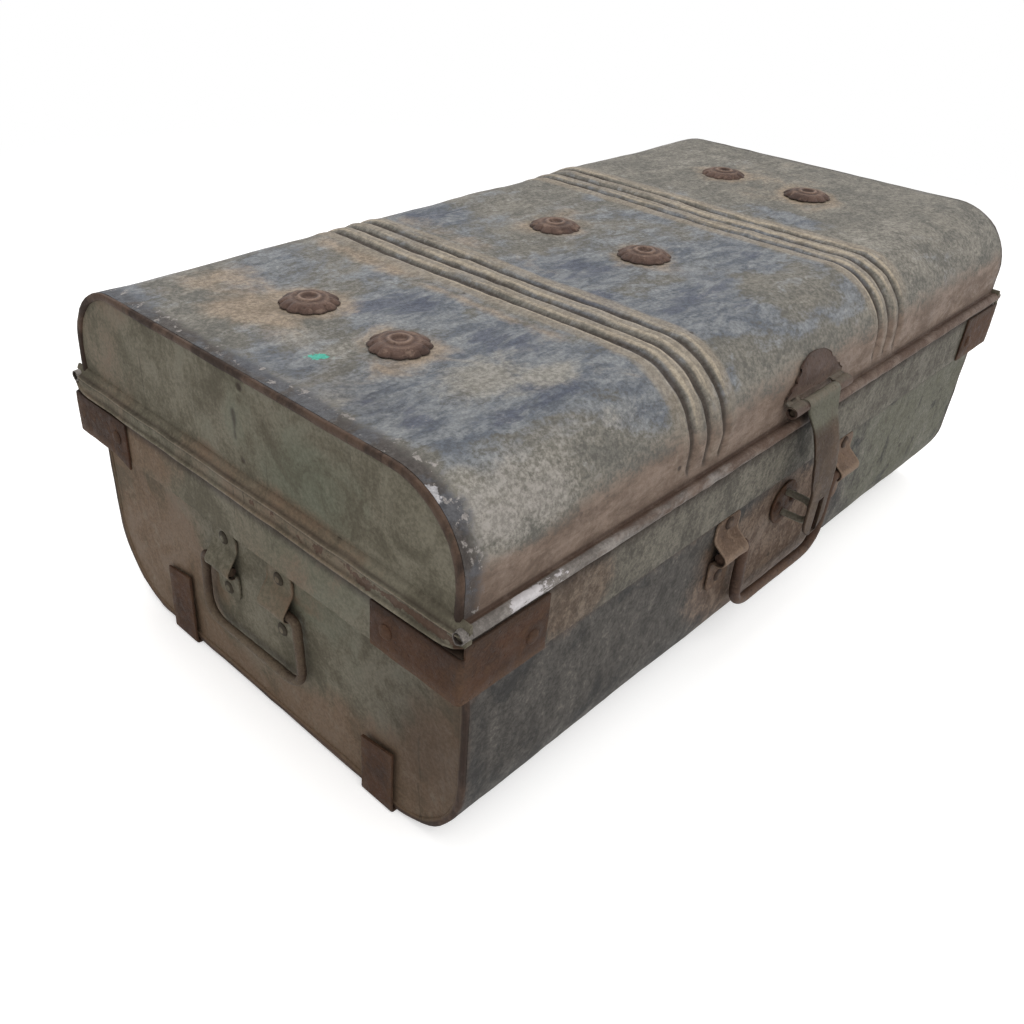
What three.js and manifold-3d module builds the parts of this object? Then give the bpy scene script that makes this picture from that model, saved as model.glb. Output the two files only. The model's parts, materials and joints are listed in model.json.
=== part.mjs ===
// A painted sheet-steel travelling trunk: a tub and a domed lid of folded sheet, a hasp and three drop handles.
// Lengths are in millimetres. X runs along the trunk, Y from its front to its back, and Z up from the floor.

import * as THREE from "three";
import { mergeVertices } from "three/addons/utils/BufferGeometryUtils.js";
import Module from "manifold-3d";

const wasm = await Module();
wasm.setup();

// Overall sizes over the rim and up to the lid's flat top, and the heights of the lid and of the tub's band
const rimLength = 670;
const rimDepth = 370;
const lidTop = 254.6;
const lidHeight = 75.6;
const lidEndDrop = 7.5;
const bandHeight = 37.5;
const lidBottom = lidTop - lidHeight;
const lidEndBottom = lidBottom - lidEndDrop;
const bandBottom = lidBottom - bandHeight;

// Sheet and clearances
const sheet = 0.8;
const seatGap = 0.3;
const slideGap = 0.8;
const overrun = 60;
const roundSteps = 6;
const lugSteps = 6;
const flareSteps = 4;

// Tub, drawn in from the rim
const bodyInset = 6.5;
const bodyEndInset = 13.5;
const bodyEndTaper = 3;
const bodyDepth = rimDepth - 2 * bodyInset;
const bodyLengthTop = rimLength - 2 * bodyEndInset;
const bodyLengthBottom = bodyLengthTop - 2 * bodyEndTaper;
const bottomCornerReach = 56;
const bottomCornerRise = 62;
const flareRise = 4;
const neckRise = 9;
const seamRise = 1.5;
const seamWidth = 6;

// Lid, drawn in from the rim
const lidInset = 6.9;
const lidEndInset = 5;
const lidDepth = rimDepth - 2 * lidInset;
const lidLength = rimLength - 2 * lidEndInset;
const lidCornerRadius = 50;
const beadRadius = 3.9;
const beadSides = 12;
const rimStripHeight = 16;
const rimStripEase = 1.5;

// Pressed grooves and rosettes, spaced along the lid from one centre line
const patternCentreX = -6;
const rosetteEndInset = 100;
const rosettePitchX = rimLength / 2 - rosetteEndInset;
const rosettePitchY = 81.4;
const rosetteCentreY = 1.5;
const grooveGroupEase = 3;
const grooveGroupPitch = rosettePitchX + grooveGroupEase;
const groovePitch = 16.5;
const grooveWidth = 8;
const grooveDepth = 2.4;
const grooveStart = 3;
const rosetteRadius = 19.8;
const rosetteHeight = 4.9;
const rosettePlate = 1.6;
const rosetteLobes = 12;
const lobeDepth = 1.6;
const lobeSteps = 3;
const rosetteSides = 16;

// Corner brackets
const bracketSheet = 1.7;
const bracketLeg = 65;
const bracketRivetInset = 12;
const bracketRivetRise = 15;

// Rivets
const rivetHeadRadius = 5;
const rivetHeadHeight = 2;
const rivetShankRadius = 2.4;
const rivetTailRadius = 3.8;
const rivetTailHeight = 1;
const rivetSides = 10;

// Skid straps under the tub, turned up on both ends
const skidSheet = 2;
const skidWidth = 27;
const skidRivetInset = 13;
const frontSkidInset = 74;
const frontSkidRise = 50;
const backSkidInset = 88;
const backSkidRise = 60;
const skids = [
  { name: "skid_strap_front", y: frontSkidInset - rimDepth / 2, rise: frontSkidRise },
  { name: "skid_strap_back", y: rimDepth / 2 - backSkidInset, rise: backSkidRise },
];

// Drop handle at the front. Where the turn is 1, the wire's ends turn out into lugs that stand outside it.
const frontHandle = {
  centre: 2,
  pivotDrop: 31,
  turn: 1,
  lugGap: 5,
  lugWidth: 28,
  lugRise: 26.5,
  lugFall: 31,
  rivetSpread: 42,
  standoff: 7,
  wire: 7.5,
  topSpan: 122,
  bottomSpan: 116,
  drop: 58,
  elbow: 5,
  corner: 20,
};

// Drop handles at the two ends. Where the turn is -1, the wire's ends turn in into lugs inside it.
const endHandle = {
  centre: 6,
  pivotDrop: 40.8,
  turn: -1,
  lugGap: 6.5,
  lugWidth: 26,
  lugRise: 27,
  lugFall: 27,
  rivetSpread: 40,
  standoff: 5.5,
  wire: 7,
  topSpan: 96,
  bottomSpan: 103,
  drop: 53,
  elbow: 5,
  corner: 18,
};
const lugSheet = 1.6;
const wireGap = 0.5;
const wireSides = 8;
const bailSteps = 36;
const pinReachShare = 0.85;

// Hasp on the lid and staple on the tub
const haspX = 2;
const haspSheet = 1.6;
const haspAxisOut = rimDepth / 2;
const haspAxisRise = 19.5;
const haspAxisZ = lidBottom + haspAxisRise;
const haspKnuckleRadius = 4;
const haspPinRadius = 1.8;
const haspBarWidth = 73;
const haspStrapWidth = 41;
const haspLeafWidth = 76;
const haspLeafRise = 24.5;
const haspLeafFoot = 4.5;
const strapCrankOut = 10.5;
const strapCrankDrop = 14.8;
const strapBellyOut = 19.3;
const strapBellyDrop = 53.7;
const strapDrop = 99.5;
const tongueWidth = 28;
const tongueTaper = 14;
const slotDrop = 84.5;
const slotGap = 1.5;
const slotEndGap = 2;
const stapleSag = 1;
const stapleWire = 5;
const stapleSpan = 17;
const stapleZ = haspAxisZ - slotDrop - stapleSag;
const slotWidth = stapleWire + 2 * slotGap;
const slotHeight = stapleSpan + stapleWire + 2 * slotEndGap;
const stapleReach = 17.4;
const stapleTip = rimDepth / 2 + stapleReach;
const stapleSteps = 18;
const staplePlateRadius = 17;
const stapleRivetSpread = 22;

// Hinges at the back
const hingeEndInset = 130;
const hingeSpacing = rimLength - 2 * hingeEndInset;
const hingeWidth = 60;
const hingeSheet = 1.7;
const hingeStandoff = 5;
const hingeAxisOut = rimDepth / 2 + hingeStandoff;
const hingeAxisRise = 2;
const hingeAxisZ = lidBottom + hingeAxisRise;
const hingeKnuckleRadius = 4.5;
const hingePinRadius = 2;
const boreGap = 0.3;
const knuckleGap = 0.4;
const baseLeafHeight = 27;
const baseLeafDrop = 9;
const lidLeafHeight = 24;
const lidLeafRise = 8.5;
const hingeRivetSpread = 36;
const pinHeadRadius = 3.2;
const pinHeadHeight = 1.5;

// Sizes that follow from the ones above
const bandDepth = rimDepth - 2 * (bracketSheet + seatGap);
const bandLength = rimLength - 2 * (bracketSheet + seatGap);
const floorZ = skidSheet + seatGap;
const ledgeZ = lidBottom - seatGap;
const endLedgeZ = lidEndBottom - seatGap;
const neckDepth = lidDepth - 2 * (sheet + slideGap);
const panelInset = seamRise + sheet;
const neckLength = lidLength - 2 * (panelInset + slideGap);
const beadY = rimDepth / 2 - beadRadius;
const beadZ = lidBottom + beadRadius;

// Solids

function toSolid(geometry) {
  const bare = geometry.clone();
  bare.deleteAttribute("normal");
  bare.deleteAttribute("uv");
  const merged = mergeVertices(bare, sheet / 1000);
  return new wasm.Manifold(
    new wasm.Mesh({
      numProp: 3,
      vertProperties: merged.attributes.position.array,
      triVerts: new Uint32Array(merged.index.array),
    }),
  );
}

function toGeometry(solid) {
  const mesh = solid.getMesh();
  const geometry = new THREE.BufferGeometry();
  geometry.setAttribute(
    "position",
    new THREE.BufferAttribute(new Float32Array(mesh.vertProperties), 3),
  );
  geometry.setIndex(new THREE.BufferAttribute(new Uint32Array(mesh.triVerts), 1));
  geometry.computeVertexNormals();
  return geometry;
}

// Points may run either way round, so an outline is turned to run anticlockwise.
function shapeOf(points, holes = []) {
  const outline = points.map(([a, b]) => new THREE.Vector2(a, b));
  if (THREE.ShapeUtils.isClockWise(outline)) outline.reverse();
  const shape = new THREE.Shape(outline);
  for (const hole of holes) {
    shape.holes.push(new THREE.Path(hole.map(([a, b]) => new THREE.Vector2(a, b))));
  }
  return shape;
}

const axisX = new THREE.Vector3(1, 0, 0);
const axisY = new THREE.Vector3(0, 1, 0);
const axisZ = new THREE.Vector3(0, 0, 1);

function extrude(points, from, to, basis, holes) {
  const geometry = new THREE.ExtrudeGeometry(shapeOf(points, holes), {
    depth: to - from,
    bevelEnabled: false,
  });
  geometry.translate(0, 0, from);
  geometry.applyMatrix4(basis);
  return toSolid(geometry);
}

// An outline of [y, z] points carried from one x to another.
function alongX(points, from, to, holes) {
  return extrude(points, from, to, new THREE.Matrix4().makeBasis(axisY, axisZ, axisX), holes);
}

// An outline of [x, z] points carried from one y to another.
function alongY(points, from, to, holes) {
  const basis = new THREE.Matrix4().makeBasis(axisX, axisZ, axisY.clone().negate());
  return extrude(points, -to, -from, basis, holes);
}

// An outline of [x, y] points carried from one z to another.
function alongZ(points, from, to, holes) {
  return extrude(points, from, to, new THREE.Matrix4(), holes);
}

function rectangle(a0, b0, a1, b1) {
  return [
    [a0, b0],
    [a1, b0],
    [a1, b1],
    [a0, b1],
  ];
}

function circle(centreA, centreB, radius, sides) {
  const points = [];
  for (let i = 0; i < sides; i++) {
    const turn = (2 * Math.PI * (i + 1 / 2)) / sides;
    points.push([centreA + radius * Math.cos(turn), centreB + radius * Math.sin(turn)]);
  }
  return points;
}

function arc(centreA, centreB, radius, fromTurn, toTurn, steps) {
  const points = [];
  for (let i = 0; i <= steps; i++) {
    const turn = fromTurn + ((toTurn - fromTurn) * i) / steps;
    points.push([centreA + radius * Math.cos(turn), centreB + radius * Math.sin(turn)]);
  }
  return points;
}

// A half outline from the centre line outwards, completed by its mirror image.
function mirrored(half) {
  const other = half.map(([a, b]) => [-a, b]).reverse();
  return [...half, ...other];
}

// A turned piece whose axis lies along Z.
function turned(profile, sides) {
  const points = profile.map(([radius, height]) => new THREE.Vector2(radius, height));
  const geometry = new THREE.LatheGeometry(points, sides);
  geometry.rotateX(Math.PI / 2);
  return toSolid(geometry);
}

// Outlines of the tub and the lid

// The wall between the tub's body and its wider band, drawn in by an inset, up to the top of the neck.
function upperHalf(body, band, neck, ledge, inset) {
  const points = [];
  for (let i = 0; i <= flareSteps; i++) {
    const share = i / flareSteps;
    const ease = share * share * (3 - 2 * share);
    const out = (body + (band - body) * ease) / 2;
    points.push([out - inset, bandBottom - flareRise * (1 - share)]);
  }
  points.push([band / 2 - inset, ledge - inset]);
  points.push([neck / 2 - inset, ledge - inset]);
  return points;
}

function tubDepthOutline(inset, top) {
  const centreY = bodyDepth / 2 - bottomCornerReach;
  const centreZ = floorZ + bottomCornerRise;
  const half = [];
  for (let i = 0; i <= roundSteps; i++) {
    const turn = ((Math.PI / 2) * i) / roundSteps;
    half.push([
      centreY + (bottomCornerReach - inset) * Math.sin(turn),
      centreZ - (bottomCornerRise - inset) * Math.cos(turn),
    ]);
  }
  half.push(...upperHalf(bodyDepth, bandDepth, neckDepth, ledgeZ, inset));
  half.push([neckDepth / 2 - inset, top]);
  return mirrored(half);
}

function tubLengthOutline(inset, bottom, top) {
  const half = [[bodyLengthBottom / 2 - inset, bottom]];
  half.push([bodyLengthBottom / 2 - inset, floorZ]);
  half.push(...upperHalf(bodyLengthTop, bandLength, neckLength, endLedgeZ, inset));
  half.push([neckLength / 2 - inset, top]);
  return mirrored(half);
}

// How far the tub's end reaches at a height below the flare.
function tubReachAt(z) {
  const share = (z - floorZ) / (bandBottom - flareRise - floorZ);
  return (bodyLengthBottom + (bodyLengthTop - bodyLengthBottom) * share) / 2;
}

function lidDepthOutline(inset, bottom) {
  const corner = arc(
    lidDepth / 2 - lidCornerRadius,
    lidTop - lidCornerRadius,
    lidCornerRadius - inset,
    0,
    Math.PI / 2,
    roundSteps,
  );
  return mirrored([[lidDepth / 2 - inset, bottom], ...corner]);
}

function lidLengthOutline() {
  const stripTop = lidEndBottom + rimStripHeight;
  const half = [
    [rimLength / 2 - rimStripEase, lidEndBottom],
    [rimLength / 2, lidEndBottom + rimStripEase],
    [rimLength / 2, stripTop - rimStripEase],
    [rimLength / 2 - rimStripEase, stripTop],
    [lidLength / 2, stripTop + rimStripEase],
    [lidLength / 2, lidTop + overrun],
  ];
  return mirrored(half);
}

// Sheet-metal pieces of the tub

const farX = rimLength / 2 + overrun;
const farY = rimDepth / 2 + overrun;
const neckTop = ledgeZ + neckRise;

function tubShell() {
  const outside = alongX(tubDepthOutline(0, neckTop), -farX, farX);
  const inside = alongX(tubDepthOutline(sheet, neckTop + overrun), -farX, farX);
  const reach = tubLengthOutline(panelInset + seatGap, -overrun, neckTop + overrun);
  return outside.subtract(inside).intersect(alongY(reach, -farY, farY));
}

function tubEnd(side) {
  const plan = alongX(tubDepthOutline(0, neckTop), 0, farX);
  const reach = alongY(tubLengthOutline(0, -overrun, neckTop + overrun), -farY, farY);
  const hollow = alongY(tubLengthOutline(panelInset, -overrun, neckTop + overrun), -farY, farY);
  const field = alongX(tubDepthOutline(seamWidth, neckTop), 0, farX);
  const below = alongX(
    rectangle(-farY, -overrun, farY, bandBottom - flareRise - seamWidth / 2),
    0,
    farX,
  );
  const skin = alongY(tubLengthOutline(seamRise, -overrun, neckTop + overrun), -farY, farY);
  const recess = field.intersect(below).subtract(skin);
  const end = plan.intersect(reach).subtract(hollow).subtract(recess);
  return side > 0 ? end : end.mirror([1, 0, 0]);
}

// Sheet-metal pieces of the lid

function lidOutside(bottom, from, to) {
  let solid = alongX(lidDepthOutline(0, bottom), from, to);
  for (const side of [-1, 1]) {
    solid = solid.add(alongX(circle(side * beadY, beadZ, beadRadius, beadSides), from, to));
  }
  return solid;
}

function grooveCentres() {
  const centres = [];
  for (const group of [-1, 1]) {
    for (const place of [-1, 0, 1]) {
      centres.push(patternCentreX + (group * grooveGroupPitch) / 2 + place * groovePitch);
    }
  }
  return centres;
}

const grooveFoot = beadZ + beadRadius + grooveStart;

// A layer of the lid's wall over a run of its length, between an outer and an inner inset.
function lidLayer(outerInset, innerInset, foot, centreX, width) {
  const from = centreX - width / 2;
  const to = centreX + width / 2;
  const inner = alongX(lidDepthOutline(innerInset, foot - overrun), -farX, farX);
  return alongX(lidDepthOutline(outerInset, foot), from, to).subtract(inner);
}

// A groove is pressed in from outside: a bump is added inside the sheet, and the groove is cut in steps.
const grooveStepShares = [
  { depth: 0.5, width: 1 },
  { depth: 1, width: 0.45 },
];

function lidShell() {
  const reach = lidLength / 2 - panelInset - seatGap;
  const hollow = alongX(lidDepthOutline(sheet, lidBottom - overrun), -farX, farX);
  let shell = lidOutside(lidBottom, -reach, reach).subtract(hollow);
  for (const centreX of grooveCentres()) {
    const bumpWidth = grooveWidth + 2 * sheet;
    const bumpFoot = grooveFoot - sheet;
    shell = shell.add(lidLayer(0, sheet + grooveDepth, bumpFoot, centreX, bumpWidth));
    for (const { depth, width } of grooveStepShares) {
      shell = shell.subtract(
        lidLayer(-sheet, grooveDepth * depth, grooveFoot, centreX, grooveWidth * width),
      );
    }
  }
  return shell;
}

function lidEnd(side) {
  const inner = lidLength / 2 - panelInset;
  const reach = alongY(lidLengthOutline(), -farY, farY);
  const field = alongX(
    lidDepthOutline(seamWidth, lidEndBottom + rimStripHeight + rimStripEase),
    lidLength / 2 - seamRise,
    farX,
  );
  const end = lidOutside(lidEndBottom, inner, farX).intersect(reach).subtract(field);
  return side > 0 ? end : end.mirror([1, 0, 0]);
}

// A layer of plate lying on the lid's outside, cut to an outline seen from the front or the back.
function lidPlate(thickness, side, outline) {
  const outer = alongX(lidDepthOutline(-(seatGap + thickness), lidBottom), -farX, farX);
  const inner = alongX(lidDepthOutline(-seatGap, lidBottom - overrun), -farX, farX);
  const from = side < 0 ? -farY : 0;
  const to = side < 0 ? 0 : farY;
  return outer.subtract(inner).intersect(alongY(outline, from, to));
}

// A pressed rosette: a scalloped skirt under a raised button with a dished top.
function rosette() {
  const outline = [];
  const points = rosetteLobes * lobeSteps;
  for (let i = 0; i < points; i++) {
    const turn = (2 * Math.PI * i) / points;
    const bulge = Math.abs(Math.sin((turn * rosetteLobes) / 2));
    const radius = rosetteRadius - lobeDepth * (1 - bulge);
    outline.push([radius * Math.cos(turn), radius * Math.sin(turn)]);
  }
  const crownShares = [
    [0, 0],
    [0.86, 0],
    [0.86, 0.26],
    [0.68, 0.45],
    [0.52, 0.55],
    [0.47, 0.85],
    [0.38, 1],
    [0.26, 0.9],
    [0, 0.8],
  ];
  const crown = crownShares.map(([r, h]) => [r * rosetteRadius, h * rosetteHeight]);
  const skirt = alongZ(outline, 0, rosettePlate);
  return skirt.add(turned(crown, rosetteSides));
}

// Rivets, holes and bored knuckles

// A rivet along Z: its head stands on the outer face at z = 0, and its tail lies behind the grip.
function rivet(grip) {
  const headShares = [
    [1, 0],
    [0.72, 0.72],
    [0, 1],
  ];
  const head = headShares.map(([r, h]) => [r * rivetHeadRadius, seatGap + h * rivetHeadHeight]);
  const back = -grip - seatGap;
  const profile = [
    [0, back - rivetTailHeight],
    [rivetTailRadius, back - rivetTailHeight],
    [rivetTailRadius, back],
    [rivetShankRadius, back],
    [rivetShankRadius, seatGap],
    ...head,
  ];
  return turned(profile, rivetSides);
}

const holeRadius = rivetShankRadius + boreGap;

function holeAlongX(y, z, from, to) {
  return alongX(circle(y, z, holeRadius, rivetSides), from, to);
}

function holeAlongY(x, z, from, to) {
  return alongY(circle(x, z, holeRadius, rivetSides), from, to);
}

// A pin along X with a head at each end.
function pinAlongX(radius, headRadius, length) {
  const half = length / 2;
  const profile = [
    [0, -half - pinHeadHeight],
    [headRadius, -half - pinHeadHeight],
    [headRadius, -half - knuckleGap],
    [radius, -half - knuckleGap],
    [radius, half + knuckleGap],
    [headRadius, half + knuckleGap],
    [headRadius, half + pinHeadHeight],
    [0, half + pinHeadHeight],
  ];
  const geometry = new THREE.LatheGeometry(
    profile.map(([r, h]) => new THREE.Vector2(r, h)),
    beadSides,
  );
  geometry.rotateZ(-Math.PI / 2);
  return toSolid(geometry);
}

// Corner brackets

// A corner bracket is an angle of sheet. Its leg on the tub's end stops lower, under the lid's end.
function bracket(sideX, sideY) {
  const innerX = rimLength / 2 - bracketSheet;
  const innerY = rimDepth / 2 - bracketSheet;
  const outline = [
    [rimLength / 2 - bracketLeg, innerY],
    [innerX, innerY],
    [innerX, rimDepth / 2 - bracketLeg],
    [rimLength / 2, rimDepth / 2 - bracketLeg],
    [rimLength / 2, rimDepth / 2 - bracketSheet],
    [rimLength / 2 - bracketSheet, rimDepth / 2],
    [rimLength / 2 - bracketLeg, rimDepth / 2],
  ];
  const placed = outline.map(([x, y]) => [sideX * x, sideY * y]);
  const step = rectangle(-farX, -innerY, farX, innerY);
  return alongZ(placed, bandBottom, lidBottom - slideGap).subtract(
    alongZ(step, lidEndBottom - slideGap, lidBottom),
  );
}

const bracketRivetX = rimLength / 2 - bracketLeg + bracketRivetInset;
const bracketRivetY = rimDepth / 2 - bracketLeg + bracketRivetInset;
const bracketRivetZ = bandBottom + bracketRivetRise;

// Handles

function pivotZ(handle) {
  return bandBottom - handle.pivotDrop;
}

// How far apart the middles of a handle's two lugs are.
function lugSpread(handle) {
  return handle.topSpan + handle.turn * (2 * handle.lugGap + handle.lugWidth);
}

// A lug is a strap folded over the handle's wire. Its outline has [out, z] points, out from the wall.
function lugOutline(handle) {
  const axisZ = pivotZ(handle);
  const plateIn = seatGap;
  const plateOut = seatGap + lugSheet;
  const inner = handle.wire / 2 + wireGap;
  const outer = inner + lugSheet;
  const top = axisZ + handle.lugRise;
  const bottom = axisZ - handle.lugFall;
  const outside = arc(handle.standoff, axisZ, outer, Math.PI / 2, -Math.PI / 2, lugSteps);
  const inside = arc(handle.standoff, axisZ, inner, -Math.PI / 2, Math.PI / 2, lugSteps);
  return [
    [plateIn, top],
    [plateOut, top],
    [plateOut, axisZ + outer],
    ...outside,
    [plateOut, axisZ - outer],
    [plateOut, bottom],
    [plateIn, bottom],
    [plateIn, axisZ - inner],
    ...inside,
    [plateIn, axisZ + inner],
  ];
}

// Half of a drop handle's wire, as [across, z] corners with the run that each bend takes up.
function bailCorners(handle) {
  const z = pivotZ(handle);
  const pinEnd = lugSpread(handle) / 2 + (handle.turn * handle.lugWidth * pinReachShare) / 2;
  return [
    { at: [pinEnd, z] },
    { at: [handle.topSpan / 2, z], blend: handle.elbow },
    { at: [handle.bottomSpan / 2, z - handle.drop], blend: handle.corner },
  ];
}

function bailPath(handle, place) {
  const half = bailCorners(handle);
  const whole = [
    ...half.map(({ at: [a, z], blend }) => ({ at: [-a, z], blend })),
    ...half.slice().reverse(),
  ];
  const path = new THREE.CurvePath();
  let last = place(...whole[0].at);
  for (let i = 1; i < whole.length; i++) {
    const here = place(...whole[i].at);
    if (!whole[i].blend) {
      path.add(new THREE.LineCurve3(last, here));
      last = here;
      continue;
    }
    const next = place(...whole[i + 1].at);
    const into = here.clone().sub(last).setLength(whole[i].blend);
    const away = next.clone().sub(here).setLength(whole[i].blend);
    const start = here.clone().sub(into);
    const end = here.clone().add(away);
    path.add(new THREE.LineCurve3(last, start));
    path.add(new THREE.QuadraticBezierCurve3(start, here, end));
    last = end;
  }
  return path;
}

function rod(path, diameter, steps) {
  const section = shapeOf(circle(0, 0, diameter / 2, wireSides));
  return toSolid(
    new THREE.ExtrudeGeometry(section, { steps, bevelEnabled: false, extrudePath: path }),
  );
}

const frontWall = bodyDepth / 2;
const endWall = tubReachAt(pivotZ(endHandle)) - seamRise;

// Hasp and staple

const haspAxisY = -haspAxisOut;

function ringAlongX(y, z, radius, bore, from, to) {
  const hole = circle(y, z, bore, beadSides).reverse();
  return alongX(circle(y, z, radius, beadSides), from, to, [hole]);
}

// The fan-shaped leaf on the lid, from its foot up, as shares of its half width and its rise.
const leafShares = [
  [0.98, 0],
  [1, 0.12],
  [0.9, 0.22],
  [0.84, 0.3],
  [0.7, 0.38],
  [0.66, 0.52],
  [0.55, 0.6],
  [0.52, 0.76],
  [0.42, 0.86],
  [0.26, 0.98],
  [0, 1],
];

function haspLeaf() {
  const foot = haspAxisZ + haspLeafFoot;
  const half = leafShares.map(([a, b]) => [(a * haspLeafWidth) / 2, foot + b * haspLeafRise]);
  const outline = mirrored(half).map(([x, z]) => [haspX + x, z]);
  let leaf = lidPlate(haspSheet, -1, outline);
  const wall = -lidDepth / 2 - seatGap;
  const arm = [
    [wall, foot + haspKnuckleRadius],
    [wall - haspSheet, foot + haspKnuckleRadius],
    [haspAxisY, haspAxisZ + haspKnuckleRadius],
    [haspAxisY, haspAxisZ],
    [haspAxisY + haspKnuckleRadius, haspAxisZ],
    [wall, foot],
  ];
  const bore = haspPinRadius + boreGap;
  for (const side of [-1, 1]) {
    const near = haspX + side * (haspStrapWidth / 2 + knuckleGap);
    const far = haspX + (side * haspBarWidth) / 2;
    const from = Math.min(near, far);
    const to = Math.max(near, far);
    const knuckle = alongX(circle(haspAxisY, haspAxisZ, haspKnuckleRadius, beadSides), from, to);
    leaf = leaf.add(knuckle.add(alongX(arm, from, to)));
  }
  const drill = alongX(circle(haspAxisY, haspAxisZ, bore, beadSides), -farX, farX);
  return leaf.subtract(drill);
}

// The strap hangs from its knuckle, stands out over the lid's bead and rests on the staple.
function haspStrap() {
  const thick = haspSheet;
  const path = [
    [haspKnuckleRadius - thick, 0],
    [haspKnuckleRadius - thick / 2, haspKnuckleRadius],
    [strapCrankOut, strapCrankDrop],
    [strapBellyOut, strapBellyDrop],
    [strapBellyOut, strapDrop],
  ];
  const outer = path.map(([out, drop]) => [haspAxisY - out - thick / 2, haspAxisZ - drop]);
  const inner = path.map(([out, drop]) => [haspAxisY - out + thick / 2, haspAxisZ - drop]);
  const strip = alongX([...outer, ...inner.reverse()], -haspStrapWidth, haspStrapWidth);
  const tongueTop = haspAxisZ - strapBellyDrop;
  const tongueEnd = haspAxisZ - strapDrop;
  const half = tongueWidth / 2;
  const tip = arc(0, tongueEnd + half, half, 0, -Math.PI / 2, roundSteps);
  const outline = mirrored([
    [haspStrapWidth / 2, haspAxisZ + overrun],
    [haspStrapWidth / 2, tongueTop],
    [half, tongueTop - tongueTaper],
    ...tip,
  ]);
  const placed = outline.map(([x, z]) => [x + haspX, z]);
  const shape = alongY(placed, -farY, 0);
  const knuckle = alongX(
    circle(haspAxisY, haspAxisZ, haspKnuckleRadius, beadSides),
    haspX - haspStrapWidth / 2,
    haspX + haspStrapWidth / 2,
  );
  const bore = haspPinRadius + boreGap;
  const drill = alongX(circle(haspAxisY, haspAxisZ, bore, beadSides), -farX, farX);
  const slotZ = haspAxisZ - slotDrop;
  const slot = alongY(
    rectangle(
      haspX - slotWidth / 2,
      slotZ - slotHeight / 2,
      haspX + slotWidth / 2,
      slotZ + slotHeight / 2,
    ),
    -farY,
    0,
  );
  return strip.intersect(shape).add(knuckle).subtract(drill).subtract(slot);
}

function staplePath() {
  const root = -(frontWall + seatGap);
  const bend = stapleSpan / 2;
  const tip = -(stapleTip - stapleWire / 2);
  const path = new THREE.CurvePath();
  const corners = [-1, 1].map((side) => new THREE.Vector3(haspX, tip + bend, stapleZ + side * bend));
  const starts = corners.map((corner) => corner.clone().setY(root));
  const outer = corners.map((corner) => corner.clone().setY(tip));
  const middle = new THREE.Vector3(haspX, tip, stapleZ);
  path.add(new THREE.LineCurve3(starts[0], corners[0]));
  path.add(new THREE.QuadraticBezierCurve3(corners[0], outer[0], middle));
  path.add(new THREE.QuadraticBezierCurve3(middle, outer[1], corners[1]));
  path.add(new THREE.LineCurve3(corners[1], starts[1]));
  return path;
}

function staplePlate() {
  const face = frontWall + seatGap;
  let plate = alongY(
    circle(haspX, stapleZ - seatGap, staplePlateRadius, rosetteSides),
    -face - haspSheet,
    -face,
  );
  const hole = stapleWire / 2 + boreGap;
  for (const side of [-1, 1]) {
    const z = stapleZ + (side * stapleSpan) / 2;
    plate = plate.subtract(alongY(circle(haspX, z, hole, rivetSides), -farY, 0));
    const head = rivet(0).rotate([90, 0, 0]);
    const x = haspX + (side * stapleRivetSpread) / 2;
    plate = plate.add(head.translate([x, -face - haspSheet + seatGap, stapleZ]).trimByPlane([0, -1, 0], face));
  }
  return plate;
}

// Hinges

function hingeKnuckle(width, centreX) {
  return alongX(
    circle(hingeAxisOut, hingeAxisZ, hingeKnuckleRadius, beadSides),
    centreX - width / 2,
    centreX + width / 2,
  );
}

function hingeBore() {
  return alongX(
    circle(hingeAxisOut, hingeAxisZ, hingePinRadius + boreGap, beadSides),
    -farX,
    farX,
  );
}

const knuckleWidth = hingeWidth / 3;

function hingeHeads(centreX, z, face) {
  const heads = [];
  for (const side of [-1, 1]) {
    const dome = turned(
      [
        [0, 0],
        [rivetHeadRadius, 0],
        [rivetHeadRadius * Math.SQRT1_2, rivetHeadHeight * Math.SQRT1_2],
        [0, rivetHeadHeight],
      ],
      rivetSides,
    ).rotate([-90, 0, 0]);
    heads.push(dome.translate([centreX + (side * hingeRivetSpread) / 2, face, z]));
  }
  return heads;
}

function hingeBaseLeaf(centreX) {
  const inner = bandDepth / 2 + seatGap;
  const outer = inner + hingeSheet;
  const top = ledgeZ - baseLeafDrop;
  const from = centreX - hingeWidth / 2;
  const to = centreX + hingeWidth / 2;
  let leaf = alongX(rectangle(inner, top - baseLeafHeight, outer, top), from, to);
  const arm = [
    [inner, top - hingeSheet],
    [outer, top - hingeSheet],
    [hingeAxisOut + hingeSheet, hingeAxisZ - hingeKnuckleRadius + hingeSheet],
    [hingeAxisOut, hingeAxisZ],
    [hingeAxisOut - hingeSheet, hingeAxisZ - hingeSheet],
    [inner, top + hingeSheet],
  ];
  const half = knuckleWidth / 2 - knuckleGap;
  leaf = leaf.add(alongX(arm, centreX - half, centreX + half));
  leaf = leaf.add(hingeKnuckle(2 * half, centreX));
  for (const head of hingeHeads(centreX, top - baseLeafHeight / 2, outer - seatGap)) {
    leaf = leaf.add(head);
  }
  return leaf.subtract(hingeBore());
}

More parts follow.
